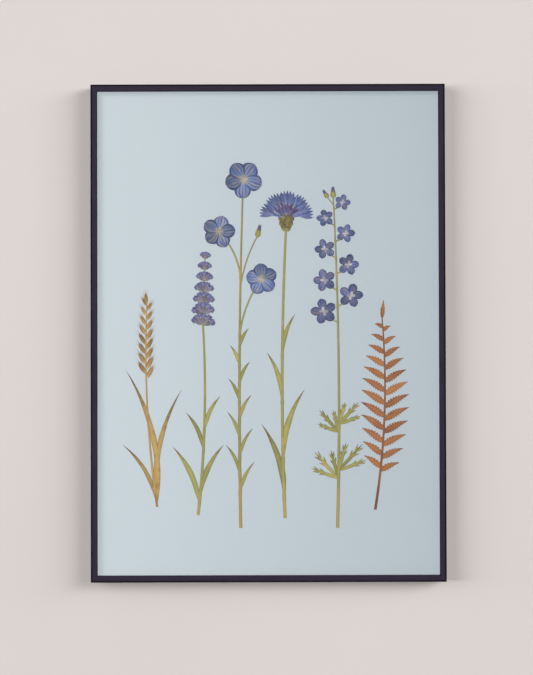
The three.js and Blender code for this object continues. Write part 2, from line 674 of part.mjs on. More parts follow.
function addLarkspur() {
  const places = larkFlowerPlaces();
  const stalks = places.map(({ node, centre, side }) => stem(arch(node, centre, -side * 1.5), 3, 1.6, 1.4));
  const budFoot = larkAxis.getPoint(0.955);
  const buds = [
    petal(polar(LARK_TOP, degrees(92), -2), degrees(92), 13, 3, 0.5),
    stem(arch(budFoot, polar(budFoot, degrees(52), 12)), 2, 1.4, 1.2),
    petal(polar(budFoot, degrees(52), 11), degrees(56), 10, 2.5, 0.5),
  ];
  const green = joined([stem(larkAxis, 14, 4, 1.6), ...stalks, ...buds, ...larkLeaves()]);
  const cutters = places.flatMap((place) => larkFlower(place, PIECE_GAP));
  addPlant('larkspur_stem', cutBack(green, cutters), OLIVE_GREEN);
  places.forEach((place, i) => {
    addPlant(`larkspur_flower_${i + 1}`, joined(larkFlower(place)), VIOLET_BLUE);
  });
}

// A fern frond turned rust in autumn: leaflets in pairs along an arched rib
const FERN_FOOT = at(130, -216);
const FERN_TIP = at(138, 30);
const FERN_BOW = -8;
const FERN_PAIRS = 12;
const FERN_LEAFLET = 34;

function addFern() {
  const rib = arch(FERN_FOOT, FERN_TIP, FERN_BOW);
  const leaflets = Array.from({ length: FERN_PAIRS }, (_, i) => {
    const share = 0.2 + 0.063 * i;
    const tangent = rib.getTangent(share);
    const way = Math.atan2(tangent.y, tangent.x);
    const long = FERN_LEAFLET * Math.sin(Math.PI * (0.18 + 0.74 * (i + 1) / FERN_PAIRS)) ** 0.8;
    return [-1, 1].map((side) => {
      const foot = rib.getPoint(share + 0.008 * side);
      const tip = polar(foot, way + side * degrees(60), long);
      return blade(arch(foot, tip, -side * 1.5), 3, lance(1.6 + long * 0.09, 0.35));
    });
  }).flat();
  const end = leaf(rib.getPoint(0.95), degrees(85), 22, 2.8, 0, 4);
  addPlant('fern_frond', joined([stem(rib, 12, 3.2, 1.4), ...leaflets, end]), RUST);
}

// Dry grass: long ochre blades and a nodding head of spikelets
const GRASS_FOOT = at(-136, -212);
const GRASS_TIP = at(-148, 40);
const GRASS_BOW = 6;
const GRASS_SPIKELETS = 16;
const GRASS_BLADES = [
  { angle: 103, long: 168, wide: 3.4, bow: -14 },
  { angle: 78, long: 142, wide: 3.2, bow: 12 },
  { angle: 120, long: 84, wide: 2.6, bow: -8 },
];

function addGrass() {
  const culm = arch(GRASS_FOOT, GRASS_TIP, GRASS_BOW);
  const blades = GRASS_BLADES.map(({ angle, long, wide, bow }) => (
    leaf(polar(GRASS_FOOT, Math.PI / 2, 3), degrees(angle), long, wide, bow, 9)
  ));
  const spikelets = Array.from({ length: GRASS_SPIKELETS }, (_, i) => {
    const share = 0.62 + 0.0235 * i;
    const tangent = culm.getTangent(share);
    const way = Math.atan2(tangent.y, tangent.x);
    const size = 1 - 0.4 * (i / GRASS_SPIKELETS) ** 2;
    return petal(culm.getPoint(share), way + degrees(i % 2 ? 30 : -30), 19 * size, 2.3 * size, 0.45, 0, 3);
  });
  const end = petal(culm.getPoint(0.98), degrees(96), 15, 2, 0.45, 0, 3);
  addPlant('grass_tuft', joined([stem(culm, 12, 2.8, 1.4), ...blades, ...spikelets, end]), OCHRE);
}

addFrame();
addPiece('glass', sheet(GLASS_THICK), CLEAR_GLASS, [0, GLASS_FRONT + GLASS_THICK / 2, 0]);
addSpacers();
addPiece('mount_sheet', sheet(MOUNT_THICK), PALE_BLUE_PAPER, [0, MOUNT_FRONT + MOUNT_THICK / 2, 0]);
addPiece('backing_board', backingBoard(), BROWN_BOARD);
addClips();
addHangers();
addLavender();
addFlax();
addCornflower();
addLarkspur();
addFern();
addGrass();

export default picture;
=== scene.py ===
# %% [markdown]
# # Pressed flowers in a slim black frame
# This picture hangs on a wall: four black rails, glass, a pale blue sheet, and six dried plants that are
# pressed flat on it. The rails, the glass, the sheet and the board come from the imported model. Their
# shape is right already, so they only get a finish here. The plants and the small metal parts at the back
# are modelled again, because a leaf or a stamped clip wants far more faces than a model for collisions.
# Loading comes first, and the box of the imported model is kept: the camera and the frame's finish are set
# from it.

import json
import math

import bmesh
import bpy
import numpy as np
from mathutils import Matrix, Vector


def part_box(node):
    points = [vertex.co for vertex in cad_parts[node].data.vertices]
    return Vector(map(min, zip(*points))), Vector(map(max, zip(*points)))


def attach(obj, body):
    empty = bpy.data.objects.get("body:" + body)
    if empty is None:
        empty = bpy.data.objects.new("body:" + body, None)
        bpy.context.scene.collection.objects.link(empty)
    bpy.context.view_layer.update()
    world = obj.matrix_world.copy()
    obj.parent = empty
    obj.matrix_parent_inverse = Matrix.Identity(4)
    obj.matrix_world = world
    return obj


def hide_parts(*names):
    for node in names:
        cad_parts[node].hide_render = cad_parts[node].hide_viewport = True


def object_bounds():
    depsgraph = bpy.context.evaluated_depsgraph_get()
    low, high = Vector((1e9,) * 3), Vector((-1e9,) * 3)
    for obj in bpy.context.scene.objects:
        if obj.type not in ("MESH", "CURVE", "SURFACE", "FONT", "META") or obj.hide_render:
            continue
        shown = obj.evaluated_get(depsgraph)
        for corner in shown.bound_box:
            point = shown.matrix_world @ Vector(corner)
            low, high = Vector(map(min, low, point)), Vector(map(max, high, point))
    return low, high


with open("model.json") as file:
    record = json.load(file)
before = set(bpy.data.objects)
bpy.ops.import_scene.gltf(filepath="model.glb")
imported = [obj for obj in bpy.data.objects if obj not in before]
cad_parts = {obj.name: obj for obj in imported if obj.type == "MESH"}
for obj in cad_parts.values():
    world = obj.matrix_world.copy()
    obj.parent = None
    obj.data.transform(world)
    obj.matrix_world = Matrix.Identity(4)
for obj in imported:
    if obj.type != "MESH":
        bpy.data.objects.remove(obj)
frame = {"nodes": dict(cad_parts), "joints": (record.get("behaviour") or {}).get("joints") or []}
cad_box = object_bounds()
nodes = frame["nodes"]

# %% [markdown]
# The camera comes next, because everything after it is judged through it. A photograph of a picture is
# taken from nearly straight ahead, from far enough away that the frame's sides stay parallel. It could be
# placed by eye, but then every later change of its distance would need a new lens. So the lens follows from
# the distance and from how much of the wall the photograph shows. The camera is tipped up by less than a
# degree, which makes the top of the frame a hair narrower than the bottom.

# %% The camera
MM = 0.001
PHOTO_WIDE, PHOTO_TALL = 533, 675
FRAME_MIDDLE = (268.2, 332.65)  # where the middle of the frame is in the photograph, in pixels
PIXEL = 1.216 * MM  # what one pixel spans at the front of the frame
CAMERA_AWAY = 2.2
CAMERA_PITCH = math.radians(0.95)
CAMERA_ROLL = math.radians(-0.15)
SENSOR = 36.0  # the long side of the picture on the camera's sensor, in millimetres


def add_camera():
    low, high = cad_box
    aim = Vector(((low.x + high.x) / 2, low.y, (low.z + high.z) / 2))
    aim.x -= (FRAME_MIDDLE[0] - PHOTO_WIDE / 2) * PIXEL
    aim.z += (FRAME_MIDDLE[1] - PHOTO_TALL / 2) * PIXEL
    lens = bpy.data.cameras.new("camera")
    lens.sensor_width = SENSOR
    lens.lens = SENSOR * CAMERA_AWAY / (PHOTO_TALL * PIXEL)
    camera = bpy.data.objects.new("camera", lens)
    tilt = Matrix.Rotation(math.pi / 2 + CAMERA_PITCH, 4, "X") @ Matrix.Rotation(CAMERA_ROLL, 4, "Z")
    camera.rotation_euler = tilt.to_euler()
    forward = Vector((0, math.cos(CAMERA_PITCH), math.sin(CAMERA_PITCH)))
    camera.location = aim - forward * CAMERA_AWAY
    bpy.context.scene.collection.objects.link(camera)
    bpy.context.scene.camera = camera
    print("camera", [round(c, 3) for c in camera.location], "lens", round(lens.lens, 1), "mm")


add_camera()

# %% [markdown]
# Shader maths reads best as plain formulas. `Reading` wraps the output of a node, and each operator on it
# adds a Math node, so a mask can be written `1 - mask * 0.5`. `Finish` is a material in the making. Its
# `node` method adds any other node: the type first, then its settings, then what goes into its sockets.
# The short methods below it are the few recipes that every finish here is mixed from.

# %% Shader maths as formulas
def srgb(*channels):
    """A colour as a screen shows it, from 0 to 255, as the linear numbers that a shader wants."""
    shares = [c / 255 for c in channels]
    return tuple(c / 12.92 if c < 0.04045 else ((c + 0.055) / 1.055) ** 2.4 for c in shares)


def feed(socket, value):
    """Links a reading to a socket, or sets the socket's own constant."""
    if isinstance(value, Reading):
        socket.id_data.links.new(value.output, socket)
    elif socket.type == "RGBA":
        socket.default_value = (*value, 1.0)
    else:
        socket.default_value = value


class Reading:
    """A value that varies over a surface. Arithmetic on it adds Math nodes."""

    def __init__(self, output):
        self.output = output

    def maths(self, operation, *values):
        node = self.output.id_data.nodes.new("ShaderNodeMath")
        node.operation = operation
        for socket, value in zip(node.inputs, values):
            feed(socket, value)
        return Reading(node.outputs[0])

    def __add__(self, other):
        return self.maths("ADD", self, other)

    def __radd__(self, other):
        return self.maths("ADD", other, self)

    def __sub__(self, other):
        return self.maths("SUBTRACT", self, other)

    def __rsub__(self, other):
        return self.maths("SUBTRACT", other, self)

    def __mul__(self, other):
        return self.maths("MULTIPLY", self, other)

    def __rmul__(self, other):
        return self.maths("MULTIPLY", other, self)

    def __abs__(self):
        return self.maths("ABSOLUTE", self)

    def cosine(self):
        return self.maths("COSINE", self)


print("the middle grey of a screen is", round(srgb(128)[0], 3), "to a shader")

# %% One method for every other node
class Finish:
    """A material in the making: its node tree, its shader, and one method that adds a node."""

    def __init__(self, name):
        self.material = bpy.data.materials.new(name)
        self.material.use_nodes = True
        self.tree = self.material.node_tree
        self.shader = self.tree.nodes["Principled BSDF"]

    def node(self, kind, settings, inputs, output=0):
        made = self.tree.nodes.new("ShaderNode" + kind)
        for name, value in settings.items():
            if name == "stops":
                self.set_stops(made.color_ramp, value)
            else:
                setattr(made, name, value)
        for socket, value in inputs.items():
            feed(made.inputs[socket], value)
        if isinstance(output, tuple):
            return [Reading(made.outputs[each]) for each in output]
        return Reading(made.outputs[output])

    @staticmethod
    def set_stops(ramp, stops):
        while len(ramp.elements) < len(stops):
            ramp.elements.new(1.0)
        for element, (place, colour) in zip(ramp.elements, stops):
            element.position = place
            element.color = (*colour, 1.0)

    def place(self, stretch=(1, 1, 1)):
        """The point on the object in metres, squeezed or stretched along the axes."""
        spot = self.node("TexCoord", {}, {}, "Object")
        return self.node("VectorMath", {"operation": "MULTIPLY"}, {0: spot, 1: stretch})

    def noise(self, size, stretch=(1, 1, 1), detail=3.0):
        """Soft patches of about the given size in metres."""
        inputs = {"Vector": self.place(stretch), "Scale": 1 / size, "Detail": detail}
        return self.node("TexNoise", {}, inputs)

    def step(self, value, low, high):
        """0 below low, 1 above high, and a smooth way between."""
        return self.node("MapRange", {"interpolation_type": "SMOOTHSTEP"}, {0: value, 1: low, 2: high})

    def least(self, first, second):
        return self.node("Math", {"operation": "MINIMUM"}, {0: first, 1: second})

    def mix(self, share, first, second):
        """A blend of two colours: the first where the share is 0, the second where it is 1."""
        return self.node("Mix", {"data_type": "RGBA"}, {0: share, 6: first, 7: second}, 2)

    def ramp(self, value, *stops):
        """A colour that follows a value from stop to stop: (value, colour)."""
        return self.node("ValToRGB", {"stops": stops}, {0: value})

    def relief(self, height, deep):
        """A bump of the given depth in metres, for a height between 0 and 1."""
        return self.node("Bump", {}, {"Strength": 1.0, "Distance": deep, "Height": height})

    def shade(self, **sockets):
        """Feeds the shader. A socket's name is written with _ for its spaces."""
        for name, value in sockets.items():
            feed(self.shader.inputs[name.replace("_", " ")], value)
        return self.material


# %% [markdown]
# The stage is a pale wall right behind the frame and a pale floor. The wall has to carry the frame's soft
# shadow. A plain wall would do that, but it would also hide the back of the picture and keep light from it
# when the camera walks round. So both are one-sided screens: the camera sees them from their front, and
# all other light passes through them.

# %% The wall and the floor
WALL_BEHIND = 0.2 * MM
WALL_HALF = 2.5
WALL_PALE, WALL_DEEP, WALL_CLOUD = srgb(224, 220, 218), srgb(218, 213, 210), 0.35
FLOOR_BELOW = 1.35
FLOOR_HALF = 40.0
FLOOR_PALE, FLOOR_DEEP, FLOOR_CLOUD = srgb(226, 222, 218), srgb(218, 214, 210), 0.6


def screen_paint(name, pale, deep, cloud):
    """Matt paint in clouds of two shades, there only for a camera that looks at its front."""
    finish = Finish(name)
    colour = finish.mix(finish.noise(cloud, detail=5.0), pale, deep)
    finish.shade(Base_Color=colour, Roughness=0.95, Specular_IOR_Level=0.2)
    seen = finish.node("LightPath", {}, {}, "Is Camera Ray")
    behind = finish.node("NewGeometry", {}, {}, "Backfacing")
    clear = finish.node("BsdfTransparent", {}, {})
    painted = Reading(finish.shader.outputs[0])
    whole = finish.node("MixShader", {}, {0: seen * (1 - behind), 1: clear, 2: painted})
    feed(finish.tree.nodes["Material Output"].inputs["Surface"], whole)
    return finish.material


def add_screen(name, corners, material):
    mesh = bpy.data.meshes.new(name)
    mesh.from_pydata(corners, [], [(0, 1, 2, 3)])
    mesh.materials.append(material)
    screen = bpy.data.objects.new(name, mesh)
    bpy.context.scene.collection.objects.link(screen)
    return screen


wall_corners = [
    (-WALL_HALF, WALL_BEHIND, -FLOOR_BELOW),
    (WALL_HALF, WALL_BEHIND, -FLOOR_BELOW),
    (WALL_HALF, WALL_BEHIND, WALL_HALF),
    (-WALL_HALF, WALL_BEHIND, WALL_HALF),
]
floor_corners = [
    (-FLOOR_HALF, -FLOOR_HALF, -FLOOR_BELOW),
    (FLOOR_HALF, -FLOOR_HALF, -FLOOR_BELOW),
    (FLOOR_HALF, FLOOR_HALF, -FLOOR_BELOW),
    (-FLOOR_HALF, FLOOR_HALF, -FLOOR_BELOW),
]
wall_paint = screen_paint("wall paint", WALL_PALE, WALL_DEEP, WALL_CLOUD)
floor_paint = screen_paint("floor paint", FLOOR_PALE, FLOOR_DEEP, FLOOR_CLOUD)
wall = add_screen("wall", wall_corners, wall_paint)
floor = add_screen("floor", floor_corners, floor_paint)
print("wall", 2 * WALL_HALF, "m wide, floor", FLOOR_BELOW, "m below the middle of the picture")

# %% [markdown]
# A studio lights flat work with large soft lamps. One set of lamps could light everything, but then the
# shadow on the wall could not be changed without changing the picture. So light linking gives the
# picture, the wall and the floor lamps of their own. The picture's lamp stands straight in front, where the
# lip throws hardly any shadow on the sheet, and a weak one high on the left gives the plants some depth.
# The wall's lamps stand far out to both sides, so the frame's shadow fades softly to the left and right,
# with a low strip and one in the middle that keep it short below. Lamps beside and behind the wall serve
# the views from there. The lamp straight in front is kept out of the glass, which would mirror it.

# %% The light of the room
ROOM_COLOUR = (0.97, 0.97, 0.97)
ROOM_LIGHT = 0.08  # how bright the room is to matt surfaces
ROOM_MIRRORED = 0.3  # and in a reflection
ROOM_SEEN = 0.62  # and straight to the camera


def add_room():
    """The room's own light. The camera sees it as a plain pale backdrop."""
    world = bpy.data.worlds.new("room")
    world.use_nodes = True
    tree = world.node_tree
    paths = tree.nodes.new("ShaderNodeLightPath")
    glossy = Reading(paths.outputs["Is Glossy Ray"])
    seen = Reading(paths.outputs["Is Camera Ray"])
    strength = ROOM_LIGHT + glossy * (ROOM_MIRRORED - ROOM_LIGHT) + seen * (ROOM_SEEN - ROOM_LIGHT)
    background = tree.nodes["Background"]
    background.inputs["Color"].default_value = (*ROOM_COLOUR, 1.0)
    feed(background.inputs["Strength"], strength)
    bpy.context.scene.world = world


add_room()
print("room light", ROOM_LIGHT, "and", ROOM_MIRRORED, "in reflections")

# %% The lamps
WARM, COOL = (1.0, 0.97, 0.955), (0.985, 0.99, 1.0)
AIM = Vector((0, 0, 0))  # every lamp points at the middle of the picture
LAMPS = [
    # name, place, size in metres, watts, colour, what it lights, seen in reflections
    ("picture lamp", (0, -3.2, -0.3), (0.5, 0.5), 73, COOL, "picture", False),
    ("high lamp", (-1.7, -2.4, 1.3), (1.2, 1.0), 25, WARM, "picture", True),
    ("wall lamp, middle", (0.2, -6.4, 0), (1.2, 0.6), 72, WARM, "wall", False),
    ("wall lamp, left", (-5.6, -4.0, 1.8), (7.2, 2.8), 168, WARM, "wall", False),
    ("wall lamp, low left", (-5.6, -4.0, 0), (7.2, 0.6), 200, WARM, "wall", False),
    ("wall lamp, right", (5.6, -4.0, 1.8), (7.2, 2.8), 405, WARM, "wall", False),
    ("side lamp, left", (-2.6, 0.8, 0.6), (1.0, 1.4), 65, COOL, "picture", True),
    ("side lamp, right", (2.6, 0.8, 0.6), (1.0, 1.4), 65, COOL, "picture", True),
    ("back lamp", (1.2, 2.4, 1.6), (1.8, 1.4), 85, COOL, "picture", True),
    ("floor lamp", (0, 0, 20), (80, 80), 21000, WARM, "floor", False),
]


def light_only(lamp, receivers, state):
    """Makes a lamp light just the receivers (INCLUDE), or all but the receivers (EXCLUDE)."""
    group = bpy.data.collections.new(lamp.name + " receivers")
    for receiver in receivers:
        group.objects.link(receiver)
    for member in group.collection_objects:
        member.light_linking.link_state = state
    lamp.light_linking.receiver_collection = group


def add_lamp(name, place, size, watts, colour, lit, mirrored):
    light = bpy.data.lights.new(name, "AREA")
    light.shape = "RECTANGLE"
    light.size, light.size_y = size
    light.energy = watts
    light.color = colour
    lamp = bpy.data.objects.new(name, light)
    lamp.location = place
    lamp.rotation_euler = (AIM - Vector(place)).to_track_quat("-Z", "Y").to_euler()
    lamp.visible_glossy = mirrored
    bpy.context.scene.collection.objects.link(lamp)
    if lit == "picture":
        light_only(lamp, [wall, floor], "EXCLUDE")
    else:
        light_only(lamp, [wall if lit == "wall" else floor], "INCLUDE")


for row in LAMPS:
    add_lamp(*row)
bpy.context.scene.view_settings.view_transform = "Standard"
print(len(LAMPS), "lamps,", sum(row[3] for row in LAMPS[:-1]), "W without the floor's")

# %% [markdown]
# The rails are slim wood under satin black paint with a faint violet cast. One flat black would look like
# plastic, because paint this thin never hides the wood quite. Fine grain runs along each rail, so the rails
# that lie and the rails that stand need the same noise stretched along different axes. The roughness
# varies with the grain too, which breaks up the highlight more than any colour could. Painted shade darkens
# the outer front edge, and painted light from the sheet tints the inside of the lip a lighter purple.

# %% Finishes of the frame
FRAME_HALF = (cad_box[1].x, cad_box[1].z)
ALONG_X, ALONG_Z = (0.04, 1, 1), (1, 1, 0.04)  # noise stretched along lying or standing rails
# These place the painted shade on the outer front edge and the painted light inside the lip.
ARRIS_SHADE_WIDE = (1.5 * MM, 2.5 * MM)  # the dark outer edge fades between these distances from the outside
ARRIS_SHADE_DEEP = (-23.5 * MM, -22 * MM)  # and between these depths
LIP_FACE = (7.1 * MM, 7.4 * MM)  # the inside of the lip begins between these distances


def black_paint(name, along):
    """Satin paint on wood, with painted shade on its rougher outer front edge and painted light inside its
    matt lip.
    """
    finish = Finish(name)
    across, depth, up = finish.node("SeparateXYZ", {}, {0: finish.place()}, (0, 1, 2))
    inset = finish.least(FRAME_HALF[0] - abs(across), FRAME_HALF[1] - abs(up))
    # painted shade: the outer front edge is darkened in colour, and it is also made rougher
    edge = (1 - finish.step(inset, *ARRIS_SHADE_WIDE)) * (1 - finish.step(depth, *ARRIS_SHADE_DEEP))
    # painted light: the inside of the lip is tinted a lighter purple for the light the sheet throws on it,
    # and it is also made matt
    inner = finish.step(inset, *LIP_FACE)
    grain = finish.noise(0.9 * MM, along)
    cloud = finish.noise(30 * MM)
    colour = finish.mix(cloud, srgb(47, 41, 56), srgb(57, 50, 67))
    colour = finish.mix(finish.step(grain, 0.5, 0.8) * 0.5, colour, srgb(28, 24, 34))
    colour = finish.mix(edge * 0.95, colour, srgb(16, 15, 17))
    colour = finish.mix(inner, colour, srgb(60, 46, 66))
    brushed = finish.noise(3 * MM, along)
    return finish.shade(
        Base_Color=colour,
        Roughness=0.42 + grain * 0.14 + cloud * 0.06 + edge * 0.2 + inner * 0.4,
        Specular_IOR_Level=0.14,
        Normal=finish.relief(grain * 0.6 + brushed * 0.4, 0.06 * MM),
    )


def black_card():
    finish = Finish("black card")
    fibres = finish.noise(0.35 * MM, (1, 1, 0.4))
    colour = finish.mix(fibres, srgb(26, 24, 28), srgb(44, 41, 46))
    return finish.shade(Base_Color=colour, Roughness=0.92, Normal=finish.relief(fibres, 0.05 * MM))


def clear_glass():
    """Float glass: it shows only where it mirrors the room, with a trace of dust in patches."""
    finish = Finish("clear glass")
    dust = finish.step(finish.noise(14 * MM, detail=6.0), 0.55, 0.95)
    colour = finish.mix(dust, srgb(214, 226, 226), srgb(236, 238, 236))
    finish.shade(Base_Color=colour, Roughness=0.02 + dust * 0.2)
    gloss = finish.node("Fresnel", {}, {"IOR": 1.5})
    leaving = finish.node("NewGeometry", {}, {}, "Backfacing")
    share = (gloss + dust * 0.004) * (1 - leaving)
    clear = finish.node("BsdfTransparent", {}, {"Color": (0.992, 0.996, 0.995)})
    mirror = Reading(finish.shader.outputs[0])
    pane = finish.node("MixShader", {}, {0: share, 1: clear, 2: mirror})
    feed(finish.tree.nodes["Material Output"].inputs["Surface"], pane)
    return finish.material


lying_paint = black_paint("black paint, lying rails", ALONG_X)
standing_paint = black_paint("black paint, standing rails", ALONG_Z)
card, pane = black_card(), clear_glass()
print("finishes:", ", ".join(each.name for each in (lying_paint, standing_paint, card, pane)))

# %% [markdown]
# The sheet is pale grey-blue cotton paper. Painted shade makes it a little deeper towards the right, for
# the light that falls off across it. It must stay quiet behind the flowers. Close by it has a soft tooth,
# clouds where the pulp lay thicker, and short fibres. A scan of paper would carry all that, but it blurs
# close by.
# Three noises of different sizes stay sharp. The board at the back is raw brown hardboard with darker
# fibres and pressed-in specks.

# %% Finishes of the sheets
SHEET_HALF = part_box("mount_sheet")[1].x


def pale_paper():
    finish = Finish("pale blue paper")
    clouds = finish.noise(45 * MM, detail=4.0)
    tooth = finish.noise(0.8 * MM, detail=4.0)
    fibres = finish.step(finish.noise(2.2 * MM, (1, 1, 0.35), 1.0), 0.66, 0.74)
    across, _, _ = finish.node("SeparateXYZ", {}, {0: finish.place()}, (0, 1, 2))
    # painted shade: the paper gets darker towards the right for the light falling off; the clouds in it are
    # the paper's own
    painted_falloff_and_clouds = across * (0.5 / SHEET_HALF) + (clouds * 0.1 + 0.45)
    colour = finish.mix(painted_falloff_and_clouds, srgb(211, 220, 226), srgb(191, 201, 208))
    colour = finish.mix(fibres * 0.14, colour, srgb(226, 230, 231))
    return finish.shade(
        Base_Color=colour,
        Roughness=0.94,
        Specular_IOR_Level=0.25,
        Normal=finish.relief(tooth * 0.7 + fibres * 0.3, 0.07 * MM),
    )


def brown_board():
    finish = Finish("brown hardboard")
    clouds = finish.noise(60 * MM, detail=5.0)
    fibres = finish.noise(1.3 * MM, (1, 1, 0.65), 6.0)
    specks = finish.step(finish.noise(2.4 * MM, detail=1.0), 0.7, 0.78)
    dark, middle, pale = srgb(112, 82, 56), srgb(142, 108, 76), srgb(168, 134, 98)
    colour = finish.ramp(fibres, (0.25, dark), (0.5, middle), (0.8, pale))
    colour = finish.mix(clouds * 0.5, colour, srgb(126, 92, 62))
    colour = finish.mix(specks * 0.7, colour, srgb(78, 56, 38))
    return finish.shade(
        Base_Color=colour,
        Roughness=0.62 + fibres * 0.25,
        Normal=finish.relief(fibres, 0.08 * MM),
    )


paper, hardboard = pale_paper(), brown_board()
print("finishes:", paper.name, "and", hardboard.name)

# %% [markdown]
# The metal is stamped from sheet. Brass plate dulls to brown, here in soft clouds with darker spots, and
# zinc plate on steel has a cloudy, slightly blue bloom. Both are fully metallic, so their look is mostly
# roughness and relief, and one recipe with two pairs of colours makes both.

# %% Finishes of the metal
def plated(name, bright, dull, rough):
    finish = Finish(name)
    cloud = finish.noise(5 * MM, detail=4.0)
    fine = finish.noise(0.5 * MM, (1, 1, 0.15), 2.0)
    spots = finish.step(finish.noise(1.8 * MM, detail=2.0), 0.62, 0.8)
    colour = finish.mix(finish.step(cloud, 0.35, 0.75), bright, dull)
    colour = finish.mix(spots * 0.35, colour, tuple(c * 0.45 for c in dull))
    return finish.shade(
        Base_Color=colour,
        Metallic=1.0,
        Roughness=rough + cloud * 0.15 + spots * 0.2,
        Normal=finish.relief(fine, 0.03 * MM),
    )


brass = plated("brass plate", srgb(214, 182, 110), srgb(176, 140, 78), 0.24)
zinc = plated("zinc plate", srgb(206, 208, 211), srgb(168, 171, 177), 0.28)
carried_over = {
    "rail_bottom": lying_paint,
    "rail_top": lying_paint,
    "rail_left": standing_paint,
    "rail_right": standing_paint,
    "glass": pane,
    "mount_sheet": paper,
    "backing_board": hardboard,
    **{f"spacer_{side}": card for side in ("bottom", "top", "left", "right")},
    **{f"corner_nail_{i}": zinc for i in range(1, 5)},
}
for node, material in carried_over.items():
    nodes[node].data.materials.clear()
    nodes[node].data.materials.append(material)
print(len(carried_over), "packed pieces have their finish")

# %% [markdown]
# A pressed plant is a flat drawing with a little thickness, so it is built like one: a spine on the sheet,
# a width along it, and a height over it. Each body is a grid of points with an upper and a lower face.
# The grid also remembers where each point sits, from foot to tip and from edge to edge, with a shade of
# its own. The finishes read that `growth`, so veins run along a petal whichever way it points.
# Plants are drawn in millimetres: x to the right, y up the sheet, and height off the sheet.

# %% Spines on the sheet
def polar(centre, angle, radius):
    """The point at an angle in degrees and a distance from a centre."""
    turn = math.radians(angle)
    return np.array(centre) + radius * np.array((math.cos(turn), math.sin(turn)))


class Arch:
    """A gentle arch from one point to another. A positive bow bends it to the left of its way."""

    def __init__(self, start, end, bow=0.0):
        self.start, self.end = np.array(start, float), np.array(end, float)
        way = self.end - self.start
        left = np.array((-way[1], way[0])) / np.linalg.norm(way)
        self.middle = (self.start + self.end) / 2 + left * 2 * bow

    def point(self, share):
        share = np.asarray(share, float)[..., None]
        ends = (1 - share) ** 2 * self.start + share**2 * self.end
        return ends + 2 * share * (1 - share) * self.middle

    def way(self, share):
        share = np.asarray(share, float)[..., None]
        slope = (1 - share) * (self.middle - self.start) + share * (self.end - self.middle)
        return slope / np.linalg.norm(slope, axis=-1, keepdims=True)

    def angle(self, share):
        way = self.way(share)
        return math.degrees(math.atan2(way[1], way[0]))


print("a spine straight up the sheet points at", Arch((0, 0), (0, 10)).angle(0.5), "degrees")

# %% Bodies pressed on the sheet
LEAST_HALF = 0.1  # half width of the finest tip


def pressed(spine, half, height, rows, columns, thick, shade):
    """A closed body on a spine. height(share, side) is its upper face; side is -1 left to 1 right."""
    share = np.linspace(0, 1, rows + 1)[:, None] * np.ones((1, columns + 1))
    side = np.linspace(-1, 1, columns + 1)[None, :] * np.ones((rows + 1, 1))
    way = spine.way(share)
    right = np.stack((way[..., 1], -way[..., 0]), -1)
    reach = np.maximum(half(share), LEAST_HALF)[..., None]
    flat = spine.point(share) + right * side[..., None] * reach
    upper = height(share, side)
    lower = np.maximum(upper - thick, 0)
    points = [np.concatenate((flat, z[..., None]), -1).reshape(-1, 3) for z in (upper, lower)]
    growth = np.stack((share, side, np.full_like(share, shade)), -1).reshape(-1, 3)
    return np.concatenate(points), grid_faces(rows, columns), np.concatenate((growth, growth))


def grid_faces(rows, columns):
    """Faces of two grids, one over the other, and of the rim that joins them."""
    count = (rows + 1) * (columns + 1)
    index = np.arange(count).reshape(rows + 1, columns + 1)
    corners = (index[:-1, :-1], index[1:, :-1], index[1:, 1:], index[:-1, 1:])
    top = np.stack(corners, -1).reshape(-1, 4)
    rim = np.concatenate((index[0, :-1], index[:-1, -1], index[-1, :0:-1], index[:0:-1, 0]))
    after = np.roll(rim, -1)
    wall = np.stack((rim, after, after + count, rim + count), -1)
    return np.concatenate((top, top[:, ::-1] + count, wall))


# %% Pieces made of pressed bodies
PLANT_CREASE = 40  # edges sharper than this many degrees stay sharp


class Pressing:
    """One piece in the making: its pressed bodies, each with a finish."""

    def __init__(self, name):
        self.name = name
        self.bodies = []

    def add(self, body, finish):
        self.bodies.append((body, finish))

    def make(self, slot, *replaced):
        """Joins the bodies in one mesh that remembers each one's finish and growth."""
        points = np.concatenate([body[0] for body, _ in self.bodies])
        growth = np.concatenate([body[2] for body, _ in self.bodies])
        starts = np.cumsum([0] + [len(body[0]) for body, _ in self.bodies[:-1]])
        faces = np.concatenate([body[1] + start for (body, _), start in zip(self.bodies, starts)])
        mesh = bpy.data.meshes.new(self.name)
        mesh.from_pydata(on_mount(points), [], faces.tolist())
        finishes = list(dict.fromkeys(finish for _, finish in self.bodies))
        for finish in finishes:
            mesh.materials.append(finish)
        order = [finishes.index(finish) for _, finish in self.bodies]
        counts = [len(body[1]) for body, _ in self.bodies]
        mesh.polygons.foreach_set("material_index", np.repeat(order, counts))
        reading = mesh.attributes.new("growth", "FLOAT_VECTOR", "POINT")
        reading.data.foreach_set("vector", growth.ravel())
        place_piece(self.name, mesh, "picture", replaced, PLANT_CREASE)


def on_mount(points):
    """Points drawn on the sheet, put where they are in the frame, in metres."""
    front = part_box("mount_sheet")[0].y
    return np.stack((points[:, 0] * MM, front - points[:, 2] * MM, points[:, 1] * MM), -1)


def place_piece(name, mesh, body, replaced, crease):
    """Makes a mesh a piece of the picture: normals out, smooth but for its creases, on its body."""
    work = bmesh.new()
    work.from_mesh(mesh)
    bmesh.ops.recalc_face_normals(work, faces=work.faces)
    work.to_mesh(mesh)
    work.free()
    mesh.shade_smooth()
    mesh.set_sharp_from_angle(angle=math.radians(crease))
    piece = bpy.data.objects.new(name, mesh)
    bpy.context.scene.collection.objects.link(piece)
    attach(piece, body)
    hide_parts(*replaced)
    print(name, len(mesh.polygons), "faces")


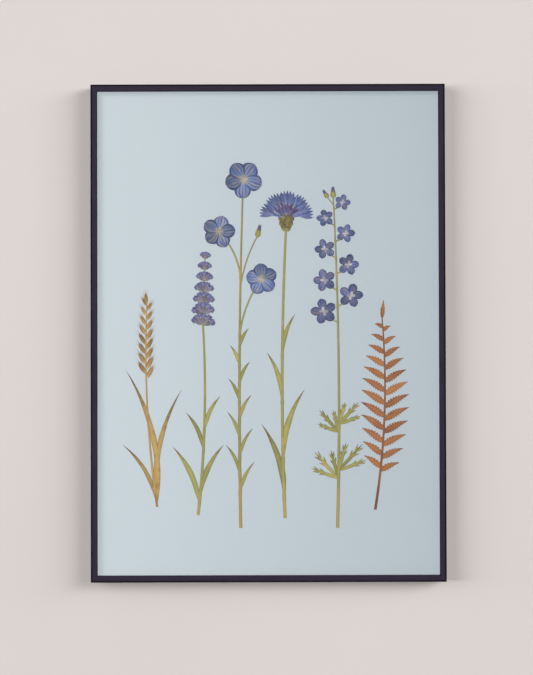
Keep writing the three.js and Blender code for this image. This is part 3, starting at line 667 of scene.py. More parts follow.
# %% [markdown]
# Dried petals lose their water but keep some colour: the thin parts turn grey-blue to tan, and the pigment
# gathers in the rim, the veins and the tip. So a petal's colour is mixed in layers, each from its own
# mask: a ramp from foot to tip, tan streaks, veins along it, and a dark rim. The masks could be painted,
# but read from the growth they fit every petal of any size. Stems and leaves dry to olive and straw in
# the same way, with paler ribs and browned tips.

# %% Finishes of petals
STREAK_SHIFT = 40  # how far the streaks of one body are from those of the next


def growth_of(finish):
    """Where a point sits on its petal or leaf: foot to tip, left to right, and the shade of its body."""
    reading = finish.node("Attribute", {"attribute_name": "growth"}, {}, "Vector")
    return finish.node("SeparateXYZ", {}, {0: reading}, (0, 1, 2))


def streaks(finish, along, across):
    """Soft streaks from foot to tip, unlike on any two bodies. More of them fit along and across."""
    reading = finish.node("Attribute", {"attribute_name": "growth"}, {}, "Vector")
    stretch = (along, across, STREAK_SHIFT)
    spread = finish.node("VectorMath", {"operation": "MULTIPLY"}, {0: reading, 1: stretch})
    return finish.node("TexNoise", {}, {"Vector": spread, "Scale": 1.0, "Detail": 3.0})


def shaded(finish, colour, shade, spread):
    """Makes some bodies a little lighter or darker than others."""
    return finish.node("HueSaturation", {}, {"Value": shade * spread + (1 - spread / 2), "Color": colour})


def petal(name, foot, middle, tip, rim, tan, veins):
    finish = Finish(name)
    along, side, shade = growth_of(finish)
    wander = finish.noise(2.5 * MM) - 0.5
    stripes = (side + wander * 0.12) * (veins * math.pi)
    vein = finish.step(stripes.cosine(), 0.45, 1.0) * finish.step(along, 0.05, 0.3)
    edge = finish.step(abs(side) + wander * 0.25, 0.62, 1.0)
    faded = finish.step(streaks(finish, 1.8, 4.5), 0.42, 0.68)
    colour = finish.ramp(along, (0.02, foot), (0.3, middle), (0.95, tip))
    colour = finish.mix(faded * (1 - edge) * 0.65, colour, tan)
    colour = finish.mix(vein * 0.6, colour, rim)
    colour = finish.mix(edge * 0.75, colour, rim)
    colour = shaded(finish, colour, shade, 0.6)
    crinkle = finish.noise(1.1 * MM)
    return finish.shade(
        Base_Color=colour,
        Roughness=0.62 + crinkle * 0.25,
        Specular_IOR_Level=0.3,
        Normal=finish.relief(crinkle * 0.5 + vein * 0.5, 0.12 * MM),
    )


# %% Finishes of stems and leaves
def stalk(name, dark, middle, pale, dry):
    finish = Finish(name)
    along, side, shade = growth_of(finish)
    wander = finish.noise(6 * MM) - 0.5
    stripes = (side + wander * 0.2) * (4 * math.pi)
    rib = finish.step(stripes.cosine(), 0.0, 1.0)
    edge = finish.step(abs(side), 0.55, 1.0)
    foot = 1 - finish.step(along + wander * 0.3, 0.0, 0.2)
    patches = finish.step(finish.noise(22 * MM, detail=5.0) + foot * 0.3, 0.5, 0.7)
    blotches = finish.step(finish.noise(3 * MM, detail=4.0), 0.6, 0.78)
    colour = finish.mix(rib * 0.55, middle, pale)
    colour = finish.mix(patches * 0.8, colour, dry)
    colour = finish.mix(edge * 0.6, colour, dark)
    colour = finish.mix(blotches * 0.35, colour, dark)
    colour = shaded(finish, colour, shade, 0.35)
    return finish.shade(
        Base_Color=colour,
        Roughness=0.58 + patches * 0.2,
        Specular_IOR_Level=0.35,
        Normal=finish.relief(rib * 0.6 + blotches * 0.4, 0.1 * MM),
    )


def leaf_skin(name, dark, middle, pale, dry, scorched, tip_from):
    finish = Finish(name)
    along, side, shade = growth_of(finish)
    wander = finish.noise(4 * MM) - 0.5
    rib = 1 - finish.step(abs(side), 0.04, 0.16)
    stripes = (side + wander * 0.1) * (7 * math.pi)
    vein = finish.step(stripes.cosine(), 0.2, 1.0)
    patches = finish.step(finish.noise(14 * MM, detail=5.0), 0.48, 0.7)
    tips = finish.step(along + wander * 0.5, tip_from, 1.0)
    edge = finish.step(abs(side) + wander * 0.4, 0.6, 1.05)
    colour = finish.mix(vein * 0.35, middle, pale)
    colour = finish.mix(patches * 0.75, colour, dry)
    colour = finish.mix(edge * 0.5, colour, dark)
    colour = finish.mix(rib * 0.5, colour, pale)
    colour = finish.mix(tips * 0.75, colour, scorched)
    colour = shaded(finish, colour, shade, 0.4)
    return finish.shade(
        Base_Color=colour,
        Roughness=0.6 + patches * 0.2,
        Specular_IOR_Level=0.3,
        Normal=finish.relief(vein * 0.5 + wander, 0.12 * MM),
    )


# %% The colours of the six plants
PETALS = {
    # foot, middle, tip, rim, tan streaks, number of veins
    "flax petal": ((206, 194, 154), (116, 138, 184), (78, 97, 152), (42, 45, 94), (182, 164, 140), 5),
    "larkspur petal": ((162, 156, 164), (96, 114, 168), (66, 80, 140), (36, 36, 82), (172, 152, 130), 5),
    "cornflower ray": ((162, 154, 160), (100, 122, 179), (68, 89, 156), (36, 41, 92), (168, 156, 148), 3),
    "cornflower heart": ((134, 116, 132), (104, 82, 134), (78, 56, 108), (50, 38, 80), (146, 124, 142), 2),
    "lavender lobe": ((168, 158, 172), (114, 117, 172), (80, 86, 147), (46, 43, 94), (176, 160, 150), 2),
    "lavender cup": ((150, 148, 118), (142, 136, 152), (108, 98, 138), (50, 42, 74), (176, 160, 128), 6),
    "bud petal": ((120, 118, 128), (92, 92, 134), (72, 68, 116), (52, 48, 90), (128, 122, 132), 3),
    "cup scale": ((156, 150, 92), (154, 146, 88), (74, 50, 36), (70, 50, 34), (176, 164, 106), 3),
    "anther": ((196, 178, 128), (204, 180, 112), (176, 140, 76), (150, 112, 60), (214, 198, 150), 5),
    "pale heart": ((200, 192, 178), (196, 192, 198), (176, 172, 192), (128, 124, 152), (208, 202, 186), 5),
    "grass husk": ((206, 180, 118), (184, 146, 84), (140, 96, 54), (112, 76, 42), (214, 190, 136), 4),
}
LEAVES = {
    # edges, middle, veins, dry patches, scorched tip, where the tip begins
    "dried leaf": ((92, 88, 34), (154, 149, 78), (198, 192, 130), (192, 164, 98), (122, 82, 48), 0.66),
    "rust frond": ((104, 54, 28), (172, 106, 56), (198, 142, 88), (152, 84, 46), (98, 56, 34), 0.8),
    "dry grass blade": ((118, 80, 42), (186, 152, 88), (216, 188, 124), (142, 92, 50), (86, 56, 36), 0.5),
}
STALKS = {
    # edges, middle, ribs, dry patches
    "dried stem": ((90, 84, 34), (150, 145, 76), (198, 190, 132), (190, 162, 98)),
    "rust rib": ((90, 50, 32), (144, 86, 50), (184, 126, 78), (122, 70, 42)),
    "dry grass stalk": ((126, 92, 48), (182, 146, 84), (212, 182, 122), (156, 112, 60)),
}


def mixed(kind, table):
    """Makes the finish of each row of a table of colours."""
    made = {}
    for name, row in table.items():
        colours = [srgb(*entry) if isinstance(entry, tuple) else entry for entry in row]
        made[name] = kind(name, *colours)
    return made


plant = {**mixed(petal, PETALS), **mixed(leaf_skin, LEAVES), **mixed(stalk, STALKS)}
print(len(plant), "finishes for the plants")

# %% [markdown]
# Every plant is drawn with the same few strokes. A stem is a half-round rod, flattened by the press. A leaf
# is thin, with a rib down its middle and edges that lift and fall. Stems and leaves could be sculpted one
# by one, but there are dozens, so each stroke is a function that takes a spine and a few sizes. One seeded
# generator makes all the small differences, so they are the same in every run.

# %% Stems and leaves
STEM_TALL = 1.0
KNOT_SWELL, KNOT_LONG = 0.22, 0.008  # how much a stem swells at a knot, and over which share of it
LEAF_THICK = 0.35
LEAF_BOW = 0.08  # how far a leaf on a stem arches, as a share of its length
UNDER_PETALS = 0.15  # height of what lies under a flower
rng = np.random.default_rng(7)


def add_stem(piece, spine, thick, finish="dried stem", rows=48, knots=(), dive=0.0):
    """A flattened rod, as thick as given at its foot and at its tip. It swells at its knots, and slips
    under a flower for the last dive millimetres."""
    length = np.linalg.norm(np.diff(spine.point(np.linspace(0, 1, 50)), axis=0), axis=1).sum()
    foot, tip = thick

    def half(share):
        swell = sum(KNOT_SWELL * np.exp(-(((share - knot) / KNOT_LONG) ** 2)) for knot in knots)
        return (foot + (tip - foot) * share) / 2 * (1 + swell)

    def height(share, side):
        ridges = 0.05 * np.cos(9 * side + 4 * share)
        round_top = STEM_TALL * (0.2 + 0.8 * np.sqrt(1 - 0.98 * side**2)) + ridges
        left = (1 - share) * length - dive
        return np.where(left > 0, round_top, UNDER_PETALS) if dive else round_top

    piece.add(pressed(spine, half, height, rows, 8, 2 * STEM_TALL, rng.random()), plant[finish])


def lance(share, widest, full_at=0.4, taper=0.9):
    """The half width at a share of the way from foot to tip. A small taper makes full, rounded ends."""
    power = math.log(0.5) / math.log(full_at)
    return widest * np.sin(np.pi * share**power) ** taper


def add_leaf(piece, foot, angle, length, widest, bow, finish="dried leaf"):
    phase = rng.random() * 6
    waves = 2 + length / 25

    def half(share):
        ripple = 1 + 0.05 * np.sin(waves * 3 * share + phase)
        return lance(share, widest) * ripple

    def height(share, side):
        crown = 0.5 + 0.2 * (1 - side**2) + 0.16 * np.exp(-((side / 0.12) ** 2))
        return crown + 0.12 * np.sin(waves * 4 * share + phase) * side

    spine = Arch(foot, polar(foot, angle, length), bow)
    rows = max(10, int(length / 2.4))
    piece.add(pressed(spine, half, height, rows, 8, LEAF_THICK, rng.random()), plant[finish])


def leaves_on(piece, spine, spread, leaves):
    """Leaves from a stem, to its right or left, that arch outwards: (share, right, long, widest)."""
    for share, right, long, widest in leaves:
        side = 1 if right else -1
        add_leaf(piece, spine.point(share), 90 - side * spread, long, widest, side * long * LEAF_BOW)


# %% [markdown]
# A petal is thinner than a leaf, fuller towards its end, and lies on the one before it, so each has a lift
# of its own off the sheet. Lobes, sepals, scales, anthers and husks differ from it only in a few numbers.
# A function for each would say the same thing many times, so there is one, and a table of forms.

# %% Petals and other small parts
PETAL_THICK = 0.28
FORMS = {
    # finish, faces along and across, where it is widest, taper of its ends, ribs, height of its waves
    "flax petal": ("flax petal", 18, 14, 0.6, 0.62, 7, 0.16),
    "larkspur petal": ("larkspur petal", 18, 14, 0.6, 0.62, 5, 0.16),
    "larkspur heart": ("pale heart", 8, 5, 0.6, 0.6, 2, 0.08),
    "cornflower tooth": ("cornflower ray", 9, 5, 0.55, 0.8, 2, 0.12),
    "cornflower heart": ("cornflower heart", 9, 4, 0.75, 0.5, 1, 0.1),
    "cup scale": ("cup scale", 10, 7, 0.5, 0.6, 3, 0.0),
    "lavender cup": ("lavender cup", 12, 8, 0.58, 0.55, 6, 0.0),
    "lavender lobe": ("lavender lobe", 8, 6, 0.66, 0.5, 1, 0.1),
    "rolled bud": ("bud petal", 9, 6, 0.35, 1.1, 2, 0.0),
    "sepal": ("dried leaf", 10, 6, 0.4, 1.2, 3, 0.0),
    "thread": ("pale heart", 5, 3, 0.5, 0.6, 0, 0.0),
    "anther": ("anther", 5, 4, 0.5, 0.5, 0, 0.0),
    "husk": ("grass husk", 9, 5, 0.45, 0.8, 3, 0.0),
    "bristle": ("dry grass stalk", 5, 3, 0.3, 0.9, 0, 0.0),
}
BUD_LAYERS = [
    # form, foot and tip as shares of the bud, then for each layer: turn, share of the width, lift
    ("rolled bud", 0.4, 1, [(-5, 0.5, 0.4), (5, 0.5, 0.45), (0, 0.62, 0.55)]),
    ("sepal", 0, 0.68, [(-13, 0.8, 0.5), (13, 0.8, 0.55), (0, 0.9, 0.7)]),
]


def add_petal(piece, form, spine, widest, lift):
    finish, rows, columns, full_at, taper, ribs, wave = FORMS[form]
    phase = rng.random() * 6

    def half(share):
        ripple = 1 + 0.05 * np.sin(9 * share + phase) * share
        return lance(share, widest, full_at, taper) * ripple

    def height(share, side):
        veins = 0.035 * np.cos(ribs * np.pi * side)
        lifted = wave * share * np.sin(5 * share + 3 * side + phase)
        return lift + PETAL_THICK + 0.08 * (1 - side**2) + veins + lifted

    piece.add(pressed(spine, half, height, rows, columns, PETAL_THICK, rng.random()), plant[finish])


def add_bud(piece, foot, angle, long, widest):
    """Three green sepals that part at the tip round a pointed, rolled petal."""
    for form, start, end, layers in BUD_LAYERS:
        for turn, wide, lift in layers:
            spine = Arch(polar(foot, angle, long * start), polar(foot, angle + turn, long * end))
            add_petal(piece, form, spine, widest * wide, lift)


# %% [markdown]
# Lavender carries its flowers in rings up a spike. Each floret is a ribbed cup with a small lipped flower
# at its mouth, so it takes two finishes and a fan of tiny lobes. Scattered florets would look wild: real
# ones stand in tiers, so one loop goes up the rings and another round each, with a little chance in the
# angles.

# %% A floret of lavender
FLORET_CUP = (1.5, 12, 2.5)  # where its cup begins and ends, and its half width
FLORET_MOUTH = 10.3
FLORET_LOBES = [
    # angle off the floret's way, length, half width
    (-62, 4.6, 1.7),
    (62, 4.6, 1.7),
    (0, 4.4, 1.6),
    (-24, 5.8, 2.0),
    (24, 5.8, 2.0),
]


def add_floret(spike, centre, angle, size, lift):
    """A ribbed cup, and at its mouth two broad upper lobes over three small ones."""
    start, end, half = [part * size for part in FLORET_CUP]
    cup = Arch(polar(centre, angle, start), polar(centre, angle, end))
    add_petal(spike, "lavender cup", cup, half, lift)
    mouth = polar(centre, angle, FLORET_MOUTH * size)
    for i, (spread, long, wide) in enumerate(FLORET_LOBES):
        lobe = Arch(mouth, polar(mouth, angle + spread, long * size))
        add_petal(spike, "lavender lobe", lobe, wide * size, lift + 0.1 + 0.05 * i)


print("a floret has", 1 + len(FLORET_LOBES), "parts")

# %% Lavender
LAVENDER_FOOT, LAVENDER_NECK = (-86, -222), (-80, 6)
LAVENDER_LEAN = 88
LAVENDER_SPIKE = 88  # length of the spike over the neck
LAVENDER_RINGS = 7
LAVENDER_RING_FIRST, LAVENDER_RING_STEP = 3, 13.5  # height of the lowest ring, and from ring to ring
LAVENDER_SPREAD = (-64, 64, -32, 34, 2)  # angles of the florets of a ring, outermost first
LAVENDER_SHRINK = 0.4  # how much smaller the top florets are than the lowest
LAVENDER_LEAVES = [
    # share of the stem, on the right, length, half width
    (0.06, False, 76, 3.4),
    (0.1, True, 68, 3.2),
    (0.34, False, 50, 2.7),
    (0.44, True, 46, 2.6),
]


def add_lavender():
    green = Pressing("lavender_stalk")
    axis = Arch(LAVENDER_FOOT, polar(LAVENDER_NECK, LAVENDER_LEAN, 6), bow=-5)
    add_stem(green, axis, (3.6, 2.4), knots=[share for share, *_ in LAVENDER_LEAVES])
    leaves_on(green, axis, 25, LAVENDER_LEAVES)
    green.make("dried_stem", "lavender_stem")
    spike = Pressing("lavender_head")
    ends = [polar(LAVENDER_NECK, LAVENDER_LEAN, up) for up in (2, LAVENDER_SPIKE)]
    add_stem(spike, Arch(*ends), (2.2, 1.2))
    for ring in range(LAVENDER_RINGS):
        size = 1 - LAVENDER_SHRINK * (ring / (LAVENDER_RINGS - 1)) ** 1.6
        centre = polar(LAVENDER_NECK, LAVENDER_LEAN, LAVENDER_RING_FIRST + ring * LAVENDER_RING_STEP)
        for i, spread in enumerate(LAVENDER_SPREAD):
            angle = LAVENDER_LEAN + spread * size + 5 * (ring % 2) - 3 + rng.uniform(-4, 4)
            add_floret(spike, centre, angle, size, 0.35 + 0.14 * i)
    spike.make("blue_petals", "lavender_spike")


add_lavender()

# %% [markdown]
# Flax has an open flower at the end of each thin branch: five broad petals with fine veins, laid one over
# the next like a fan, round a pale eye with five anthers. The petals could be copies of one, but a press
# leaves no two alike, so each gets its own length, width and bow. A flower is pressed as one piece, so it
# is built as one piece.

# %% Open flowers
PETAL_ORDER = (0, 2, 4, 1, 3)  # the petals of a flower in the order in which they are laid
EYE_THREAD = 0.35  # half width of a thread
EYE_ANTHER = (-0.9, 1.4, 0.75)  # from and to, measured from the tip of its thread, and its half width


def add_petals(flower, form, centre, radius, angle, fullness):
    """Five petals round a centre. The first, at the given angle, covers the tip of the stalk."""
    for i, turn in enumerate(PETAL_ORDER):
        end = polar(centre, angle + turn * 72, radius * (1.0 if turn == 0 else rng.uniform(0.93, 1.0)))
        spine = Arch(centre, end, rng.uniform(-0.6, 0.6))
        wide = radius * fullness * rng.uniform(0.94, 1.02)
        add_petal(flower, form, spine, wide, 0.2 + 0.13 * i)


def add_eye(flower, centre, radius):
    """A pale eye: thin threads round the centre of a flower, each with an anther at its end."""
    start, end, half = EYE_ANTHER
    for i in range(5):
        angle = 72 * i + rng.uniform(-9, 9)
        tip = polar(centre, angle, radius)
        add_petal(flower, "thread", Arch(centre, tip), EYE_THREAD, 1.0)
        add_petal(flower, "anther", Arch(polar(tip, angle, start), polar(tip, angle, end)), half, 1.15)


print("an open flower has", len(PETAL_ORDER), "petals")

# %% Flax
FLAX_FOOT = (-34, -238)
FLAX_FLOWERS = [
    # centre, radius, angle of the first petal
    ((-30, 188), 24, -92),
    ((-60, 124), 21, -66),
    ((-8, 66), 20, -118),
]
FLAX_FULLNESS = 0.44  # half width of a petal as a share of its length
FLAX_FORKS = [(0.72, -5), (0.55, 5)]  # where each side branch leaves the stem, and how it bows
FLAX_BUD_FORK, FLAX_BUD, FLAX_BUD_ANGLE = 0.69, (-13, 118), 76
FLAX_LEAVES = [(0.1 + 0.052 * i, i % 2 == 0, 42 - 2 * i, 2.2) for i in range(9)]
FLAX_EYE = 0.2  # radius of the eye as a share of the flower's


def add_flax():
    green = Pressing("flax_stalk")
    axis = Arch(FLAX_FOOT, FLAX_FLOWERS[0][0], bow=3)
    knots = [share for share, *_ in FLAX_LEAVES] + [fork for fork, _ in FLAX_FORKS]
    add_stem(green, axis, (3.8, 2), rows=200, knots=knots, dive=FLAX_FLOWERS[0][1] - 1)
    for (fork, bow), (centre, radius, _) in zip(FLAX_FORKS, FLAX_FLOWERS[1:]):
        add_stem(green, Arch(axis.point(fork), centre, bow), (2.4, 1.8), rows=60, dive=radius - 1)
    leaves_on(green, axis, 25, FLAX_LEAVES)
    add_stem(green, Arch(axis.point(FLAX_BUD_FORK), FLAX_BUD, bow=3), (1.8, 1.5), rows=20)
    add_bud(green, polar(FLAX_BUD, FLAX_BUD_ANGLE, -2), FLAX_BUD_ANGLE, long=17, widest=2.9)
    green.make("dried_stem", "flax_stem")
    for i, (centre, radius, angle) in enumerate(FLAX_FLOWERS, 1):
        flower = Pressing(f"flax_bloom_{i}")
        add_petals(flower, "flax petal", centre, radius, angle, FLAX_FULLNESS)
        add_eye(flower, centre, radius * FLAX_EYE)
        flower.make("blue_petals", f"flax_flower_{i}")


add_flax()

# %% [markdown]
# A cornflower is a scaly green cup with a fan of toothed trumpets above it. Each trumpet is a narrow tube
# that opens into pointed teeth. Darker florets stand close together in the middle. The scales of the cup
# could be bump in a material, but their fringes show in its outline. They overlap like tiles, each with a
# brown fringe, so they are laid on row by row.

# %% A trumpet of a cornflower
CORNFLOWER_TEETH = 5
TOOTH_HALF = 0.058  # half width of a tooth as a share of the trumpet's length


def add_trumpet(bloom, foot, angle, long, lift):
    """A narrow tube that widens to its mouth, with a fan of pointed teeth."""

    def widening(share):
        return 1.0 + 1.9 * share**1.5

    def rounding(share, side):
        return lift + 0.3 + 0.15 * (1 - side**2)

    throat = Arch(foot, polar(foot, angle, 0.62 * long))
    bloom.add(pressed(throat, widening, rounding, 10, 6, 0.3, rng.random()), plant["cornflower ray"])
    for i in range(CORNFLOWER_TEETH):
        across = i / (CORNFLOWER_TEETH - 1) - 0.5
        start = polar(polar(foot, angle, 0.42 * long), angle + 90, across * long * 0.12)
        end = polar(polar(foot, angle, long * (1 - 0.25 * across**2)), angle + 90, across * long * 0.52)
        spine = Arch(start, end, rng.uniform(-0.5, 0.5))
        add_petal(bloom, "cornflower tooth", spine, long * TOOTH_HALF, lift + 0.03 * i)


print("a trumpet has", CORNFLOWER_TEETH, "teeth")

# %% The cup of a cornflower
CORNFLOWER_CUP, CORNFLOWER_LEAN = (22, 126), 88
CUP_ROWS, CUP_LONG = 6, 21
SCALE_LONG, SCALE_HALF = 6.4, 2.0


def cup_half(share):
    return 1.6 + 6.6 * np.sin(np.pi * (0.06 + 0.74 * share)) ** 0.8


def cup_dome(share, side):
    return 0.3 + 0.55 * np.sqrt(1 - 0.9 * side**2)


def add_cup(green):
    """The cup: overlapping scales with dark fringes, laid from its mouth down to its foot."""
    foot = polar(CORNFLOWER_CUP, CORNFLOWER_LEAN, -2)
    spine = Arch(foot, polar(foot, CORNFLOWER_LEAN, CUP_LONG))
    green.add(pressed(spine, cup_half, cup_dome, 12, 8, 2, 0.4), plant["dried leaf"])
    for row in reversed(range(CUP_ROWS)):
        share = 0.02 + 0.68 * row / (CUP_ROWS - 1)
        count = 5 - row % 2
        wide = cup_half(share) * (0.8 if count == 5 else 0.6)
        for i in range(count):
            across = (i / (count - 1) * 2 - 1) * wide
            start = polar(spine.point(share), CORNFLOWER_LEAN - 90, across)
            end = polar(start, CORNFLOWER_LEAN - across * 3, SCALE_LONG)
            lift = 0.45 + 0.3 * (1 - (across / 9) ** 2) + 0.05 * (CUP_ROWS - row)
            add_petal(green, "cup scale", Arch(start, end), SCALE_HALF, lift)


print("the cup has", CUP_ROWS, "rows of scales")

# %% Cornflower
CORNFLOWER_FOOT = (20, -226)
CORNFLOWER_MOUTH = 14
CORNFLOWER_RAYS, CORNFLOWER_RAY_LONG, CORNFLOWER_RAY_SPAN = 9, 34, 146
CORNFLOWER_INNER = 13  # dark florets in the middle
CORNFLOWER_INNER_STEP = 8.5  # degrees from one to the next
CORNFLOWER_INNER_HALF = 1.15
CORNFLOWER_LEAVES = [
    # share of the stem, on the right, length, half width
    (0.07, False, 94, 3.8),
    (0.2, True, 90, 3.6),
    (0.4, False, 64, 3.0),
    (0.56, True, 54, 2.7),
]


def add_cornflower():
    green = Pressing("cornflower_stalk")
    axis = Arch(CORNFLOWER_FOOT, CORNFLOWER_CUP, bow=4)
    add_stem(green, axis, (4, 2.8), rows=80, knots=[share for share, *_ in CORNFLOWER_LEAVES])
    leaves_on(green, axis, 17, CORNFLOWER_LEAVES)
    add_cup(green)
    green.make("dried_stem", "cornflower_stem")
    bloom = Pressing("cornflower_head")
    mouth = polar(CORNFLOWER_CUP, CORNFLOWER_LEAN, CORNFLOWER_MOUTH)
    back_then_front = [*range(1, CORNFLOWER_RAYS, 2), *range(0, CORNFLOWER_RAYS, 2)]
    for place, i in enumerate(back_then_front):
        share = i / (CORNFLOWER_RAYS - 1)
        angle = CORNFLOWER_LEAN + CORNFLOWER_RAY_SPAN * (share - 0.5) + rng.uniform(-2, 2)
        long = (CORNFLOWER_RAY_LONG - 3) * (0.9 if i % 2 else 1)
        add_trumpet(bloom, polar(mouth, angle, 3), angle, long, 0.2 + 0.07 * place)
    for i in range(CORNFLOWER_INNER):
        turn = CORNFLOWER_INNER_STEP * (i - (CORNFLOWER_INNER - 1) / 2)
        angle = CORNFLOWER_LEAN + turn + rng.uniform(-3, 3)
        long = 19 - 3 * (i % 2) + rng.uniform(-1.5, 1.5)
        spine = Arch(polar(mouth, angle, 4), polar(mouth, angle, long), rng.uniform(-1, 1))
        add_petal(bloom, "cornflower heart", spine, CORNFLOWER_INNER_HALF, 0.95 + 0.03 * i)
    bloom.make("blue_petals", "cornflower_bloom")


add_cornflower()

# %% [markdown]
# Larkspur flowers stand left and right in turn on short stalks, and get smaller towards the top. Each has
# five sepals and a small pale heart. Its leaves are cut into narrow lobes with a few teeth. The places of
# the flowers are worked out once and used twice: first for their stalks, which are part of the stem, and
# then for the flowers, each a piece of its own.

# %% The places of the larkspur's flowers
LARKSPUR_FOOT, LARKSPUR_TOP = (84, -238), (80, 166)
LARKSPUR_FLOWERS = 8
LARKSPUR_FIRST = 0.62  # the lowest flower's share of the stem
LARKSPUR_STEP = 0.049  # and the step to the next
LARKSPUR_RADIUS, LARKSPUR_STALK = 16.5, 22  # radius of the lowest flower, and length of its stalk
LARKSPUR_SPREAD = 52  # degrees between the stem and a flower's stalk
LARKSPUR_SHRINK = 0.055  # how much smaller each flower is than the one below it
larkspur_axis = Arch(LARKSPUR_FOOT, LARKSPUR_TOP, bow=-4)


def larkspur_places():
    """For each flower: its node on the stem, which side it is on, its angle, radius and centre."""
    for i in range(LARKSPUR_FLOWERS):
        size = 1 - LARKSPUR_SHRINK * i
        node = larkspur_axis.point(LARKSPUR_FIRST + LARKSPUR_STEP * i)
        side = 1 if i % 2 else -1
        angle = 90 - side * LARKSPUR_SPREAD
        yield node, side, angle, LARKSPUR_RADIUS * size, polar(node, angle, LARKSPUR_STALK * size)


print("larkspur flowers at", [[round(c) for c in centre] for *_, centre in larkspur_places()])

# %% The cut leaves of the larkspur
LARKSPUR_LEAF_SHARES = (0.16, 0.3)
LARKSPUR_LEAF_LONG, LARKSPUR_LEAF_SPREAD = 44, 42
LARKSPUR_LOBES, LARKSPUR_LOBE_HALF = (-27, 27, 0), 2.2
LARKSPUR_TEETH = [(0.45, 24), (0.5, -24), (0.66, 20), (0.7, -20)]  # share of the lobe, and turn
LARKSPUR_TOOTH_LONG, LARKSPUR_TOOTH_HALF = 0.26, 1.2  # length as a share of the lobe's, and half width


def add_larkspur_leaves(green):
    """A pair of leaves on each of two tiers. A leaf is three lobes, and a lobe has four teeth."""
    for tier, share in enumerate(LARKSPUR_LEAF_SHARES):
        for side in (-1, 1):
            foot = larkspur_axis.point(share + 0.012 * side)
            for spread in LARKSPUR_LOBES:
                long = LARKSPUR_LEAF_LONG - 8 * tier - abs(spread) * 0.3
                angle = 90 - side * LARKSPUR_LEAF_SPREAD + spread
                add_leaf(green, foot, angle, long, LARKSPUR_LOBE_HALF, bow=0)
                for along, turn in LARKSPUR_TEETH:
                    root = polar(foot, angle, long * along)
                    tooth = long * LARKSPUR_TOOTH_LONG
                    add_leaf(green, root, angle + turn, tooth, LARKSPUR_TOOTH_HALF, bow=0)


print("a lobe has", len(LARKSPUR_TEETH), "teeth")

# %% Larkspur
LARKSPUR_FULLNESS = 0.34  # half width of a sepal as a share of its length
LARKSPUR_BUD, LARKSPUR_BUD_ANGLE = 0.975, 128  # the side bud's share of the stem, and the way it points
LARKSPUR_HEART = (35, 145, 215, 325)  # angles of the small petals of the pale heart


def add_larkspur():
    green = Pressing("larkspur_stalk")
    places = list(larkspur_places())
    knots = [LARKSPUR_FIRST + LARKSPUR_STEP * i for i in range(LARKSPUR_FLOWERS)]
    knots += LARKSPUR_LEAF_SHARES
    add_stem(green, larkspur_axis, (4, 1.6), rows=90, knots=knots)
    for node, side, _, radius, centre in places:
        add_stem(green, Arch(node, centre, -side * 1.5), (1.6, 1.4), rows=40, dive=radius - 1)
    fork = larkspur_axis.point(LARKSPUR_BUD)
    add_stem(green, Arch(fork, polar(fork, LARKSPUR_BUD_ANGLE, 12)), (1.4, 1.2), rows=8)
    add_bud(green, polar(LARKSPUR_TOP, 92, -2), 92, long=15, widest=3.0)
    add_bud(green, polar(fork, LARKSPUR_BUD_ANGLE, 11), 122, long=12, widest=2.6)
    add_larkspur_leaves(green)
    green.make("dried_stem", "larkspur_stem")
    for i, (_, _, angle, radius, centre) in enumerate(places, 1):
        flower = Pressing(f"larkspur_bloom_{i}")
        add_petals(flower, "larkspur petal", centre, radius, angle + 180, LARKSPUR_FULLNESS)
        for turn in LARKSPUR_HEART:
            spine = Arch(centre, polar(centre, angle + 180 + turn, radius * 0.36))
            add_petal(flower, "larkspur heart", spine, radius * 0.12, 0.9)
        flower.make("blue_petals", f"larkspur_flower_{i}")


add_larkspur()

# %% [markdown]
# The fern frond turned rust in autumn. Its leaflets stand in pairs along an arched rib, and each is cut
# into round lobes. The lobes could be bodies of their own, but they are one skin on the real leaf, so they
# are a width that swells and shrinks along the leaflet.

# %% Fern
FERN_FOOT, FERN_TIP = (130, -216), (138, 30)
FERN_PAIRS, FERN_FIRST, FERN_STEP = 12, 0.2, 0.063  # the lowest pair's share of the rib, and the next
FERN_LEAFLET, FERN_SPREAD = 34, 60  # length of the longest leaflet, and its angle from the rib
FERN_LOBE = 3.4  # length of one lobe along a leaflet


def add_leaflet(frond, spine, long, widest):
    lobes = max(4, round(long / FERN_LOBE))

    def half(share):
        cuts = np.abs(np.sin(np.pi * lobes * share)) ** 0.6
        return lance(share, widest, 0.35) * (0.55 + 0.5 * cuts)

    def height(share, side):
        rib = 0.16 * np.exp(-((side / 0.14) ** 2))
        return 0.55 + rib + 0.1 * np.cos(2 * np.pi * lobes * share) * np.abs(side)

    frond.add(pressed(spine, half, height, lobes * 6, 6, LEAF_THICK, rng.random()), plant["rust frond"])


def add_fern():
    frond = Pressing("fern_leaf")
    rib = Arch(FERN_FOOT, FERN_TIP, bow=-8)
    add_stem(frond, rib, (3.2, 1.4), "rust rib", rows=60)
    for i in range(FERN_PAIRS):
        share = FERN_FIRST + FERN_STEP * i
        long = FERN_LEAFLET * math.sin(math.pi * (0.18 + 0.74 * (i + 1) / FERN_PAIRS)) ** 0.8
        for side in (-1, 1):
            foot = rib.point(share + 0.008 * side)
            tip = polar(foot, rib.angle(share) + side * FERN_SPREAD, long)
            add_leaflet(frond, Arch(foot, tip, -side * 1.5), long, 1.6 + long * 0.09)
    foot = rib.point(0.95)
    add_leaflet(frond, Arch(foot, polar(foot, 85, 22)), 22, 2.8)
    frond.make("rust_frond", "fern_frond")


add_fern()

# %% [markdown]
# The grass dried to straw. Long blades bend away from a thin stalk, and its head is a row of husks, left
# and right in turn, that get smaller towards the tip. Each husk ends in a bristle. A curve with a round
# bevel would do for that, but the same stroke as for a petal, only much thinner, is already there.

